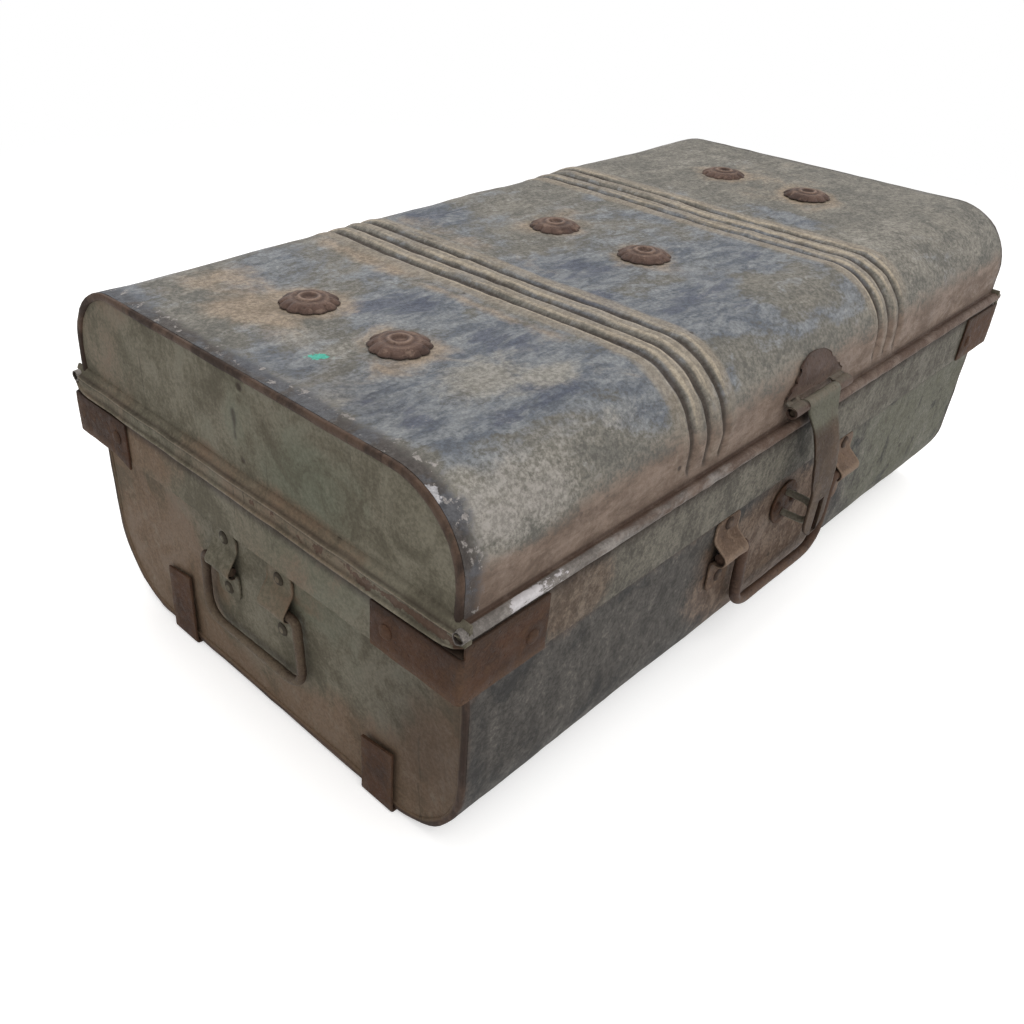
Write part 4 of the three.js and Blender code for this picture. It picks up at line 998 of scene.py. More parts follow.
class TRUNK_OT_lid_ends(bpy.types.Operator):
    """The lid's two end plates, each with its rolled seam, its rim strip and the stubs of the rolled bead"""

    bl_idname = "trunk.lid_ends"
    bl_label = "Lid ends"

    # The part of the rim strip that stands further out than this is free to be worn and bent
    strip_face = 0.331

    def execute(self, context):
        centre_z = LID_TOP - LID_CORNER
        corner = LID_CORNER - FIELD_INSET
        seam_foot, field_foot = 0.180, 0.183

        def half_width(z):
            if z <= centre_z:
                return LID_Y - FIELD_INSET
            rise = min(z - centre_z, corner)
            return LID_Y - LID_CORNER + math.sqrt(max(0, corner ** 2 - rise ** 2))

        levels = spread(field_foot, centre_z, 4)
        levels += [centre_z + corner * math.sin(math.radians(t)) for t in spread(0, 90, 12)[1:]]
        for name, side in SIDES:
            outwards = Vector((side, 0, 0))
            field = plate(f"lid_field_{name}", side, levels, half_width, lambda z: LID_X - SEAM_RISE)
            turn_towards(field, outwards)
            wear(field, 0.0011, 0.055, 3 + side)
            wear(field, 0.0003, 0.014, 6 + side)
            finish(field, thickness=SHEET)
            seam = rolled_seam(
                f"lid_seam_{name}", side, lambda inset: lid_path(inset, seam_foot), lambda z: LID_X,
                sizes().seam_width,
            )
            turn_towards(seam, outwards)
            wear(seam, 0.0005, 0.012, 9 + side)
            finish(seam, smooth=60)
            mark(seam, "seam", seam_shares(seam, 0.8))
            end = join(f"lid_end_{name}", [field, seam, self.rim_strip(name, side)])
            self.paint_marks(end, side)
            settle(end, "lid", "end_paint", finish_named("end paint"), f"lid_end_{name}")
            for face, way in FACES:
                self.bead_stub(f"lid_bead_end_{face}_{name}", side, way)
        return {"FINISHED"}

    def rim_strip(self, name, side):
        """The strip along the lid's foot: a ridge above and below a flat worn band."""
        profile = (
            (0.3277, 0.1726), (0.3330, 0.1716), (0.3341, 0.1717), (0.3348, 0.1722), (0.3350, 0.1729),
            (0.3346, 0.1736), (0.3338, 0.1740), (0.3333, 0.1746), (0.3333, 0.1775), (0.3335, 0.1800),
            (0.3333, 0.1816), (0.3335, 0.1822), (0.3341, 0.1825), (0.3344, 0.1831), (0.3342, 0.1837),
            (0.3335, 0.1840), (0.3325, 0.1844), (0.3314, 0.1852), (0.3304, 0.1865), (0.3297, 0.1882),
            (0.3290, 0.1894), (0.3279, 0.1897),
        )
        steps = spread(-RIM_Y + 0.0005, RIM_Y - 0.0005, 60)
        piece = draw(f"lid_strip_{name}", [at(side * x, steps[0], z) for x, z in profile], closed=True)
        bpy.ops.mesh.select_all(action="SELECT")
        bpy.ops.mesh.edge_face_add()
        sweep([(0, b - a, 0) for a, b in zip(steps, steps[1:])])
        finish(piece, smooth=50)
        wear(piece, 0.0007, 0.022, 12 + side, self.on_face)
        mould(piece, self.turn_up)
        return piece

    def on_face(self, place):
        return 1.0 if abs(place.x) > self.strip_face else 0.0

    def turn_up(self, place, normal):
        """The strip's foot curves up into the bead at both of its ends, and stays inside the trunk's box."""
        run, turned, height = 0.020, 0.1800, 0.0084
        share = max(0, (abs(place.y - MID_Y) - RIM_Y + run) / run) ** 2
        if place.z < turned:
            place.z += 0.0068 * share * (turned - place.z) / height
        place.x -= math.copysign(0.0022 * share ** 2, place.x) * self.on_face(place)
        return Vector((clamp(place.x, -RIM_X, RIM_X), place.y, max(LID_END_FOOT, place.z)))

    def bead_stub(self, name, side, way):
        """The open end of the rolled bead, past the lid's sheet."""
        profile = (
            (0.3278, 1.0), (0.3300, 1.0), (0.3322, 0.99), (0.3342, 0.95),
            (0.3342, 0.72), (0.3322, 0.70), (0.3278, 0.70),
        )
        turns = [math.radians(t) for t in spread(0, 360, 16)]
        rows = []
        for x, share in profile:
            ring = [(BEAD * share * math.cos(t), BEAD * share * math.sin(t)) for t in turns]
            rows.append([at(side * x, way * BEAD_Y + across, BEAD_Z + up) for across, up in ring])
        piece = loft(name, rows + rows[:1])
        bpy.ops.object.mode_set(mode="EDIT")
        finish(piece, smooth=50)
        wear(piece, 0.0003, 0.004, 4 + side + way)
        torn = 0.0012 if side < 0 and way < 0 else 0.0004
        wear(piece, torn, 0.0025, 2, lambda place: clamp((abs(place.x) - 0.3300) / 0.003))
        mould(piece, lambda place, normal: Vector((clamp(place.x, -RIM_X, RIM_X), place.y, place.z)))
        # Painted shade inside the bead's open end; the left stubs are pale steel with a painted highlight
        p = points_of(piece)
        mark(piece, "shade", np.hypot(p[:, 1] - MID_Y - way * BEAD_Y, p[:, 2] - BEAD_Z) < BEAD * 0.84)
        mark(piece, "bead", 1.0)
        if side < 0:
            mark(piece, "pale", 0.9)
        settle(piece, "lid", "lid_paint", finish_named("lid paint"))

    def paint_marks(self, piece, side):
        """Rust on the strip, painted highlights on its ridges, painted shade in its creases and along it, and
        stains on the plate.
        """
        p = points_of(piece)
        x, y, z = np.abs(p[:, 0]), p[:, 1] - MID_Y, p[:, 2]
        on_strip = (x > 0.3322) & (z < 0.1842)
        on_plate = ~on_strip
        mark(piece, "strip", on_strip * bump(z - 0.1782, 0.0040, 4) * np.clip(0.45 - (y + 0.02) * 4, 0.2, 1))
        # Painted highlights on the strip's two ridges
        crest = np.maximum(bump(z - 0.1831, 0.0008), 0.8 * bump(z - 0.1730, 0.0007)) * (x > 0.3337)
        mark(piece, "lip", on_strip * crest)
        # Painted shade in the strip's creases, along its top and in the gap under its foot
        creases = np.maximum(0.55 * bump(z - 0.1744, 0.0006), 0.45 * bump(z - 0.1817, 0.0005)) * (x < 0.3342)
        above = np.maximum(0.75 * bump(z - 0.1845, 0.0007) * (x > 0.329), 0.35 * bump(z - 0.1890, 0.0010))
        mark(piece, "shade", np.maximum.reduce([creases, above, bump(z - 0.1714, 0.0006)]))
        mark(piece, "green", on_plate * (0.30 + patches(y, z, ((-0.07, 0.215, 0.07, 0.03, 0.35),))))
        left = np.clip((y - 0.02) / 0.12, 0, 1)
        low = bump(z - 0.187, 0.010) * on_plate
        mark(piece, "earth", np.maximum.reduce([0.55 * left, 0.5 * low, 0.45 * on_strip]))
        if side < 0:
            mark(piece, "dark", patches(y, z, DINGS))


class TRUNK_OT_tub_sheet(bpy.types.Operator):
    """The tub's folded sheet: its front, bottom and back with the wider band under the rim"""

    bl_idname = "trunk.tub_sheet"
    bl_label = "Tub sheet"

    def execute(self, context):
        size = sizes()
        line = mirror_line(tub_half(NECK_TOP))
        piece = loft("tub_sheet", [[at(share, y, z) for y, z in line] for share in spread(-1, 1, 64)])

        def to_the_ends(place, normal):
            above = clamp((place.z - BAND_FOOT + FLARE + 0.003) / 0.003)
            gap = SHELL_GAP + (SHEET + 0.0001 - SHELL_GAP) * above
            reach = NECK_X if place.z > END_LEDGE else tub_reach(place.z)
            return Vector((place.x * (reach - gap), place.y, place.z))

        mould(piece, to_the_ends)
        face_outwards(piece, at(0, -BODY_Y, 0.1), Vector((0, -1, 0)))
        piece.data.update()

        def open_sheet(place):
            return clamp((0.316 - abs(place.x)) / 0.03) * clamp((0.136 - place.z) / 0.03)

        wear(piece, size.tub_dents * 1.6, 0.085, 4, open_sheet)
        wear(piece, size.tub_dents * 0.4, 0.020, 7, open_sheet)
        mould(piece, lambda place, normal: Vector((place.x, place.y, max(FLOOR - 0.0002, place.z))))
        finish(piece, thickness=SHEET, smooth=40)
        self.paint_marks(piece)
        settle(piece, "tub", "tub_paint", finish_named("tub paint"), "tub_shell")
        return {"FINISHED"}

    def paint_marks(self, piece):
        """Green to the far side, brown round the handle, under the band and at the near corner."""
        p = points_of(piece)
        x, y, z = p[:, 0], p[:, 1] - MID_Y, p[:, 2]
        front = y < 0
        mark(piece, "moss", np.clip((x + 0.05) / 0.25, 0, 1) * 0.8 + 0.35 * (z > BAND_FOOT))
        handle = bump(oval(x, z, -0.005, 0.080, 0.118, 0.064), 1, 3) * front
        beside = bump(oval(x, z, -0.245, 0.160, 0.045, 0.03), 1, 3) * front
        under = bump(z - 0.133, 0.010) * np.clip((0.06 - x) / 0.1, 0, 1) * front
        foot = 0.45 * np.clip((0.04 - z) / 0.03, 0, 1)
        mark(piece, "earth", np.maximum.reduce([1.15 * handle, 0.6 * under, foot, 1.1 * beside]))
        mark(piece, "band", z > BAND_FOOT - 0.002)
        # Painted shade just under the band, and dark seams at the corners
        mark(piece, "crease", 0.85 * bump(z - 0.1380, 0.0035) + 0.7 * bump(0.3175 - np.abs(x), 0.004))
        # Painted shade under the lid's bead and near the bottom, and the band darkened towards the far end
        far = 0.26 * np.clip((x - 0.02) / 0.12, 0, 1) * (z > BAND_FOOT)
        bottom = 0.35 * np.clip((0.018 - z) / 0.015, 0, 1)
        mark(piece, "shade", np.maximum.reduce([bump(z - 0.1765, 0.0035), bottom, far]))


class TRUNK_OT_tub_ends(bpy.types.Operator):
    """The tub's two end plates, each with the band under the rim and its rolled seam"""

    bl_idname = "trunk.tub_ends"
    bl_label = "Tub ends"

    flare_foot = BAND_FOOT - FLARE
    centre_z = FLOOR + CORNER_RISE

    def execute(self, context):
        foot, rise = self.flare_foot, CORNER_RISE - FIELD_INSET
        levels = [self.centre_z - rise * math.cos(math.radians(t)) for t in spread(0, 90, 16)]
        levels += spread(self.centre_z, foot - 0.003, 6)[1:]
        levels += [foot - 0.0012, foot, foot + 0.001, foot + 0.002, foot + 0.003]
        levels += spread(BAND_FOOT, END_LEDGE - 0.0008, 4) + [END_LEDGE, END_LEDGE + 0.0002]
        levels += [LEDGE, LEDGE + 0.0003, NECK_TOP]
        for name, side in SIDES:
            outwards = Vector((side, 0, 0))
            field = plate(f"tub_field_{name}", side, levels, self.half_width, self.reach, 48)
            turn_towards(field, outwards)
            wear(field, 0.0012, 0.070, 5 + side, self.below_band)
            wear(field, 0.0003, 0.016, 8 + side, self.below_band)
            finish(field, thickness=SHEET)
            seam = rolled_seam(
                f"tub_seam_{name}", side, lambda inset: tub_path(inset, foot + 0.0005), tub_reach,
                sizes().seam_width,
            )
            turn_towards(seam, outwards)
            wear(seam, 0.0005, 0.012, 11 + side)
            finish(seam, smooth=60)
            mark(seam, "seam", seam_shares(seam, 0.45))
            end = join(f"tub_end_{name}", [field, seam])
            self.paint_marks(end)
            settle(end, "tub", "end_paint", finish_named("end paint"), f"tub_end_{name}")
        return {"FINISHED"}

    def half_width(self, z):
        """Half the plate's width at a height: its neck, its band, its straight wall and its round corners."""
        if z > LEDGE + 0.0001:
            return NECK_Y
        if z >= BAND_FOOT:
            return BAND_Y
        if z > self.flare_foot - 0.0005:
            return BODY_Y + (BAND_Y - BODY_Y) * eased(max(0, z - self.flare_foot) / FLARE)
        if z > self.centre_z:
            return BODY_Y - FIELD_INSET
        reach, rise = CORNER_REACH - FIELD_INSET, CORNER_RISE - FIELD_INSET
        drop = min(self.centre_z - z, rise)
        return BODY_Y - CORNER_REACH + reach * math.sqrt(max(0, 1 - (drop / rise) ** 2))

    def reach(self, z):
        """How far the plate stands out at a height, inside its seam up to the band."""
        if z > END_LEDGE + 0.0001:
            return NECK_X
        return tub_reach(z) - SEAM_RISE * clamp((self.flare_foot - z) / 0.003)

    def below_band(self, place):
        return clamp((0.134 - place.z) / 0.02)

    def paint_marks(self, piece):
        """Brown to the back, round the border and at the foot, green in the middle, painted shade under the
        rim.
        """
        p = points_of(piece)
        y, z = p[:, 1] - MID_Y, p[:, 2]
        # Painted shade under the rim, at the foot of the band's flare and in a patch low at the front
        lines = np.maximum(bump(z - 0.1705, 0.0030), 0.5 * bump(z - 0.1375, 0.0012))
        gloom = patches(y, z, ((-0.150, 0.078, 0.055, 0.060, 0.58),))
        mark(piece, "shade", np.maximum(lines, gloom))
        border = np.clip((oval(y, z, 0, 0.145, 0.178, 0.14) - 0.62) / 0.38, 0, 1)
        foot = np.clip((0.075 - z) / 0.06, 0, 1)
        behind = 0.9 * np.clip((y - 0.01) / 0.08, 0, 1)
        mark(piece, "earth", np.maximum.reduce([0.95 * border, 0.6 * foot, behind, 0.3 * (z > 0.1)]))
        mark(piece, "dark", patches(y, z, ((-0.115, 0.08, 0.05, 0.06, 0.35),)))
        mark(piece, "green", 0.55 * np.clip((0.10 - y) / 0.16, 0, 1) * np.clip((z - 0.03) / 0.08, 0, 1))


class TRUNK_OT_corner_brackets(bpy.types.Operator):
    """The four angle brackets under the rim, a little bent and uneven"""

    bl_idname = "trunk.corner_brackets"
    bl_label = "Corner brackets"

    leg = 0.065

    def execute(self, context):
        round_off = 0.003
        corner = arc(RIM_X - round_off, RIM_Y - round_off, round_off, round_off, 0, 90, 4)
        plan = [(RIM_X, y) for y in spread(RIM_Y - self.leg, RIM_Y - round_off, 7)[:-1]] + corner
        plan += [(x, RIM_Y) for x in spread(RIM_X - round_off, RIM_X - self.leg, 7)[1:]]
        heights = [BAND_FOOT, 0.1488, 0.1560, 0.1635, 0.1707, 0.1782]
        for face, way in FACES:
            for name, side in SIDES:
                node = f"corner_bracket_{face}_{name}"
                piece = draw(node, [at(side * x, way * y, heights[0]) for x, y in plan])
                sweep([(0, 0, b - a) for a, b in zip(heights, heights[1:])])
                # The end leg is lower than the long one, to clear the rim strip
                pick(lambda place: abs(place.x) > RIM_X - 0.0028 and place.z > 0.1708)
                bpy.ops.mesh.delete(type="FACE")
                tidy_mesh()
                bpy.ops.object.mode_set(mode="OBJECT")
                turn_towards(piece, Vector((side, 0, 0)))
                finish(piece, thickness=0.0017, bevel=0.00035)
                wear(piece, sizes().strap_wear, 0.013, 2 * side + way)
                if way > 0 and side < 0:
                    mould(piece, self.dog_ear)
                p = points_of(piece)
                x, y, z = np.abs(p[:, 0]), np.abs(p[:, 1] - MID_Y), p[:, 2]
                edges = [bump(z - BAND_FOOT, 0.002), bump(z - heights[-1], 0.002)]
                mark(piece, "worn", np.maximum.reduce([*edges, bump(np.hypot(x - RIM_X, y - RIM_Y), 0.004)]))
                # Painted shade under the lid
                under_lid = np.maximum(bump(z - 0.1702, 0.003) * (x > 0.332), bump(z - 0.178, 0.003))
                mark(piece, "shade", 0.8 * under_lid)
                settle(piece, "tub", "rusty_steel", finish_named("strap rust"), node)
        return {"FINISHED"}

    def dog_ear(self, place, normal):
        """The lower corner of the end leg at the back left is bent out of true."""
        run = 0.02
        share = max(0, 1 - abs(place.y - MID_Y - (RIM_Y - self.leg)) / run)
        place.z -= 0.005 * share * max(0, 1 - (place.z - BAND_FOOT) / run)
        return place


class TRUNK_OT_skid_straps(bpy.types.Operator):
    """The two straps under the tub, turned up on both ends and riveted"""

    bl_idname = "trunk.skid_straps"
    bl_label = "Skid straps"

    def execute(self, context):
        round_off, rivet_head = 0.0035, 0.0017
        for name, rise in (("front", 0.050), ("back", 0.060)):
            node = f"skid_strap_{name}"
            low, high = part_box(node)
            outer = high.x - rivet_head
            bend = arc(outer - round_off, round_off, round_off, round_off, 0, -90, 4)
            half = [(outer, z) for z in spread(rise, round_off, 6)[:-1]] + bend
            half += [(x, 0.0) for x in spread(outer - round_off, 0, 14)[1:]]
            line = half + [(-x, z) for x, z in reversed(half) if x > 1e-6]
            piece = draw(node, [Vector((x, low.y, z)) for x, z in line])
            sweep([(0, (high.y - low.y) / 4, 0)] * 4)
            tidy_mesh()
            bpy.ops.object.mode_set(mode="OBJECT")
            face_outwards(piece, Vector((0, (low.y + high.y) / 2, 0)), Vector((0, 0, -1)))
            finish(piece, thickness=0.002, bevel=0.0004)
            wear(piece, sizes().strap_wear, 0.014, 3, lambda place: 1.0 if place.z > 0.006 else 0.0)
            mould(piece, lambda place, normal: self.cut_askew(place, low, high, rise))
            p = points_of(piece)
            side = np.minimum(np.abs(p[:, 1] - low.y), np.abs(p[:, 1] - high.y))
            mark(piece, "worn", np.maximum(bump(side, 0.0015), bump(p[:, 2] - rise, 0.002)) * 0.7)
            # Painted shade on the underside
            mark(piece, "shade", 0.5 * (p[:, 2] < 0.003))
            settle(piece, "tub", "rusty_steel", finish_named("strap rust"), node)
        return {"FINISHED"}

    def cut_askew(self, place, low, high, rise):
        """The turned-up ends are cut off a little askew."""
        run = 0.006
        if place.z > rise - run:
            place.z -= 0.0035 * (place.y - low.y) / (high.y - low.y) * (place.z - rise + run) / run
        return place


class TRUNK_OT_rosettes(bpy.types.Operator):
    """The six pressed rosettes on the lid: a scalloped skirt round a dished button"""

    bl_idname = "trunk.rosettes"
    bl_label = "Rosettes"

    def execute(self, context):
        lobes, skirt = 12, 0.60
        low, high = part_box("rosette_left_front")
        radius, rise = (high.x - low.x) / 2, high.z - low.z
        profile = (
            (0.00, 0.60), (0.10, 0.60), (0.17, 0.64), (0.22, 0.74), (0.26, 0.90), (0.30, 0.99), (0.34, 1.00),
            (0.38, 0.93), (0.42, 0.82), (0.45, 0.79), (0.52, 0.80), (0.60, 0.77), (0.68, 0.70), (0.76, 0.60),
            (0.83, 0.49), (0.89, 0.37), (0.94, 0.25), (0.98, 0.12), (1.00, 0.04), (0.99, 0.0), (0.94, 0.02),
            (0.80, 0.14), (0.0, 0.30),
        )
        rows = []
        for share, height in profile:
            row = []
            for t in spread(0, 360, 96):
                turn = math.radians(t)
                dip = 1 - abs(math.sin(turn * lobes / 2))
                deep = max(0, (share - skirt) / (1 - skirt))
                out = radius * share - sizes().lobe_depth * dip ** 1.4 * deep
                lift = rise * height - 0.0007 * dip ** 2 * deep * (share < 0.98)
                row.append(Vector((out * math.cos(turn), out * math.sin(turn), max(0, lift))))
            rows.append(row)
        for i, column in enumerate(("left", "middle", "right")):
            for face, way in FACES:
                node = f"rosette_{column}_{face}"
                low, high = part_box(node)
                centre = Vector(((low.x + high.x) / 2, (low.y + high.y) / 2, low.z))
                piece = loft(node, [[centre + point for point in row] for row in rows])
                bpy.ops.object.mode_set(mode="EDIT")
                finish(piece, smooth=60)
                wear(piece, 0.0003, 0.009, 3 * i + way)
                wear(piece, 0.00015, 0.003, 2 * i + way)
                foot = low.z - 0.0002
                mould(piece, lambda place, normal: Vector((*place.xy, clamp(place.z, foot, high.z))))
                p = points_of(piece)
                away = np.hypot(p[:, 0] - centre.x, p[:, 1] - centre.y) / radius
                mark(piece, "worn", np.maximum(bump(away - 0.33, 0.055), 0.45 * bump(away - 0.60, 0.06)))
                # Painted shade in the dish, the groove and the flutes between the scallops, and along the
                # skirt's foot
                turn = np.arctan2(p[:, 1] - centre.y, p[:, 0] - centre.x)
                flute = bump(np.sin(turn * lobes / 2), 0.25) * np.clip((away - 0.66) / 0.2, 0, 1)
                dish, groove = 0.45 * bump(away - 0.20, 0.05), 0.4 * bump(away - 0.45, 0.035)
                border = 0.95 * bump(p[:, 2] - low.z, 0.0009) * (away > 0.8)
                mark(piece, "shade", np.maximum.reduce([border, dish, groove, 0.4 * flute]))
                settle(piece, "lid", "rusty_steel", finish_named("rosette rust"), node)
        return {"FINISHED"}


class TRUNK_OT_rivets(bpy.types.Operator):
    """The rivets of the brackets and handles: one low dome, copied to each place"""

    bl_idname = "trunk.rivets"
    bl_label = "Rivets"

    def execute(self, context):
        profile = (
            (0.0, 0.0016), (0.0016, 0.0015), (0.0030, 0.0012), (0.0041, 0.0008), (0.0047, 0.0003),
            (0.0047, 0.0), (0.0022, -0.0002), (0.0022, -0.003), (0.0, -0.003),
        )
        model = draw("rivet_model", [Vector((r, 0, z)) for r, z in profile])
        bpy.ops.mesh.spin(steps=20, angle=math.tau, center=(0, 0, 0), axis=(0, 0, 1))
        finish(model, smooth=50)
        for node in sorted(n for n in frame["nodes"] if "_rivet_" in n):
            low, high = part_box(node)
            centre = (low + high) / 2
            on_end = "_end_" in node or node.startswith(("left_handle", "right_handle"))
            axis = 0 if on_end else 1
            out = Vector((0, 0, 0))
            out[axis] = math.copysign(1, centre[axis] - (0, MID_Y)[axis])
            tip = centre.copy()
            tip[axis] = high[axis] if out[axis] > 0 else low[axis]
            turn = Vector((0, 0, 1)).rotation_difference(out).to_matrix().to_4x4()
            piece = bpy.data.objects.new(node, model.data.copy())
            piece.data.name = node
            context.scene.collection.objects.link(piece)
            piece.data.transform(Matrix.Translation(tip - out * 0.0022) @ turn)
            wear(piece, 0.0003, 0.004, centre.x * 50 + centre.z * 30)
            mark(piece, "worn", 0.35)
            kind = "strap rust"
            if "handle" in node:
                from_tip = points_of(piece) - np.array(tip)
                reach = from_tip @ np.array(out)
                aside = np.linalg.norm(from_tip - reach[:, None] * np.array(out), axis=1)
                mark(piece, "dark" if on_end else "shade", (aside - 0.0012) / 0.0012)
                mark(piece, "earth", 0.4)
                kind = "end paint" if on_end else "lug paint"
            settle(piece, "tub", "rusty_steel", finish_named(kind), node)
        bpy.data.objects.remove(model)
        return {"FINISHED"}


def bent(corners, steps=12):
    """A path through corners given as (a, b, run), each rounded over its run."""
    path = [Vector(corners[0][:2])]
    for before, here, after in zip(corners, corners[1:], corners[2:]):
        corner, run = Vector(here[:2]), here[2]
        start = corner + (Vector(before[:2]) - corner).normalized() * run
        end = corner + (Vector(after[:2]) - corner).normalized() * run
        for share in spread(0, 1, steps):
            path.append(start * (1 - share) ** 2 + corner * 2 * share * (1 - share) + end * share ** 2)
    return path + [Vector(corners[-1][:2])]


def fill_in(path, step):
    """More points along the straight runs of a path."""
    dense = [path[0]]
    for here, there in zip(path, path[1:]):
        count = max(1, round((there - here).length / step))
        dense += [here.lerp(there, share) for share in spread(0, 1, count)[1:]]
    return dense


def wire(name, path, spot, radius, sides=14):
    """A round wire along a flat path, closed at its ends; spot turns (along, out, up) into a place."""
    rows = []
    for i, here in enumerate(path):
        along = (path[min(i + 1, len(path) - 1)] - path[max(i - 1, 0)]).normalized()
        aside = Vector((-along.y, along.x))
        row = []
        for turn in spread(0, math.tau, sides):
            place = here + aside * radius * math.cos(turn)
            row.append(spot(place.x, radius * math.sin(turn), place.y))
        rows.append(row)
    first, last = ([spot(end.x, 0, end.y)] * (sides + 1) for end in (path[0], path[-1]))
    piece = loft(name, [first, *rows, last])
    bpy.ops.object.mode_set(mode="EDIT")
    return finish(piece, smooth=55)


# The wire of a handle is given by half the distance between its pins, its half widths at the top and the
# bottom, its drop, the run of its corners and its radius. A lug is given by its width, how far it reaches
# above and below the pin, and the lean of its fold in degrees. The pin stands off the wall by its standoff.
FRONT_HANDLE = {
    "pin": 0.0919, "top": 0.061, "bottom": 0.058, "drop": 0.058, "corner": 0.020, "radius": 0.00375,
    "width": 0.028, "rise": 0.0265, "fall": 0.031, "lean": 50, "standoff": 0.007,
    "wire": "front wire rust", "paint": "lug paint",
}
END_HANDLE = {
    "pin": 0.01745, "top": 0.048, "bottom": 0.0515, "drop": 0.053, "corner": 0.018, "radius": 0.0031,
    "width": 0.026, "rise": 0.027, "fall": 0.027, "lean": 36, "standoff": 0.0055,
    "wire": "handle wire rust", "paint": "end paint",
}


class TRUNK_OT_handles(bpy.types.Operator):
    """The three drop handles: bent wire bails in lugs folded over the wire"""

    bl_idname = "trunk.handles"
    bl_label = "Handles"

    def execute(self, context):
        form = dict(FRONT_HANDLE, along=Vector((1, 0, 0)), out=Vector((0, -1, 0)), up=Vector((0, 0, 1)))
        self.make("front_handle", "front_bail_swing", form)
        lean = math.atan((BODY_X_TOP - BODY_X_FOOT) / (BAND_FOOT - FLARE - FLOOR))
        for name, side in SIDES:
            out = Vector((side * math.cos(lean), 0, -math.sin(lean)))
            up = Vector((side * math.sin(lean), 0, math.cos(lean)))
            form = dict(END_HANDLE, along=Vector((0, 1, 0)), out=out, up=up)
            self.make(f"{name}_handle", f"{name}_bail_swing", form)
        return {"FINISHED"}

    def make(self, label, joint, form):
        """One bail, and the two lugs that hold it."""
        pivot = pivot_of(joint)

        def spot(along, out, up):
            return pivot + form["along"] * along + form["out"] * out + form["up"] * up

        node = f"{label}_bail"
        half = [(form["pin"], 0, 0), (form["top"], 0, 0.005), (form["bottom"], -form["drop"], form["corner"])]
        corners = [(-a, b, run) for a, b, run in half] + half[::-1]
        bail = wire(node, fill_in(bent(corners), 0.004), spot, form["radius"])
        wear(bail, 0.0007, 0.035, 3, lambda place: min(1, abs((place - pivot).dot(form["up"])) / 0.03))
        wear(bail, 0.0002, 0.004, 6)
        p = points_of(bail) - np.array(pivot)
        drop = -(p @ np.array(form["up"])) / form["drop"]
        out = p @ np.array(form["out"])
        mark(bail, "worn", 0.7 * bump(drop - 1.0, 0.12) + 0.3 * bump(out - form["radius"], 0.002))
        # Painted shade on the side of the wire that faces the wall
        mark(bail, "shade", 0.6 * bump(out + form["radius"], 0.002))
        settle(bail, body_of(node), "handle_wire", finish_named(form["wire"]), node)
        for name in ("a", "b"):
            node = f"{label}_lug_{name}"
            self.lug(node, form, spot, (middle(node) - pivot).dot(form["along"]))

    def lug(self, node, form, spot, centre):
        """A strap that lies on the wall, folds out over the wire and comes back."""
        sheet, play, round_off = 0.0013, 0.0005, 0.006
        rise, fall, lean = form["rise"], form["fall"], math.radians(form["lean"])
        flat = 0.0019 - form["standoff"]
        over = form["radius"] + play + sheet
        run = (over * math.cos(lean) - flat) / math.sin(lean)
        ramp = over * math.sin(lean) + run * math.cos(lean)
        line = [(flat, rise - down) for down in (0, 0.001, 0.0025, 0.005)]
        line += [(flat, up) for up in spread(rise - 0.008, ramp + 0.002, 3)]
        line += [(flat + 0.0003, ramp + 0.0006), (flat + 0.0012, ramp - 0.0009)]
        turns = [math.radians(t) for t in spread(form["lean"], -95, 12)]
        line += [(over * math.cos(t), over * math.sin(t)) for t in turns]
        line += [(flat + 0.0018, -over - 0.0003), (flat + 0.0006, -over - 0.0011), (flat, -over - 0.0026)]
        line += [(flat, -down) for down in spread(over + 0.005, fall - 0.008, 3)]
        line += [(flat, up - fall) for up in (0.005, 0.0025, 0.001, 0)]
        rows = []
        for out, up in line:
            short = max(0, round_off - min(rise - up, fall + up))
            narrow = round_off - math.sqrt(max(0, round_off ** 2 - short ** 2))
            half = form["width"] / 2 - narrow * 0.9
            if up < -over:
                half -= 0.0015
            rows.append([spot(centre + along, out, up) for along in spread(-half, half, 12)])
        piece = loft(node, rows)
        turn_towards(piece, form["out"])
        finish(piece, thickness=sheet, bevel=0.0003)
        wear(piece, 0.0004, 0.011, centre * 90)
        wear(piece, 0.0002, 0.004, centre * 50)
        p = points_of(piece) - np.array(spot(centre, 0, 0))
        along, out, up = (p @ np.array(form[key]) for key in ("along", "out", "up"))
        edge = np.maximum(bump(form["width"] / 2 - np.abs(along), 0.0012), bump(out - over, 0.0016))
        mark(piece, "worn", edge)
        # Painted shade inside the fold round the wire, and under the fold
        inner = (np.hypot(out, up) < over - 0.0009) & (np.abs(up) < over)
        mark(piece, "shade", np.maximum(inner, 0.7 * bump(up + over + 0.0016, 0.0016)))
        mark(piece, "earth", 0.35 + 0.2 * edge)
        mark(piece, "green", 0.45)
        settle(piece, "tub", "rusty_steel", finish_named(form["paint"]), node)


# Half the hasp leaf's outline from its foot up: shares of its half width and of its height
LEAF_OUTLINE = (
    (1.00, 0.00), (0.98, 0.06), (0.985, 0.12), (0.92, 0.18), (0.86, 0.24), (0.85, 0.30), (0.77, 0.35),
    (0.69, 0.41), (0.68, 0.48), (0.66, 0.54), (0.59, 0.59), (0.54, 0.66), (0.53, 0.74), (0.48, 0.81),
    (0.41, 0.87), (0.33, 0.92), (0.24, 0.96), (0.13, 0.99), (0.04, 1.00),
)
# How the hasp's strap drapes over the lid's foot: how far out from the pin, and how far down
DRAPE = (
    (0.0042, 0.0022), (0.0049, 0.0046), (0.0062, 0.0070), (0.0079, 0.0097), (0.0096, 0.0124),
    (0.0113, 0.0155), (0.0130, 0.0205), (0.0144, 0.0255), (0.0158, 0.0310), (0.0171, 0.0365),
    (0.0182, 0.0415), (0.0191, 0.0465), (0.0197, 0.0510), (0.0200, 0.0550), (0.0201, 0.0590),
    (0.0201, 0.0630), (0.0201, 0.0675),
)


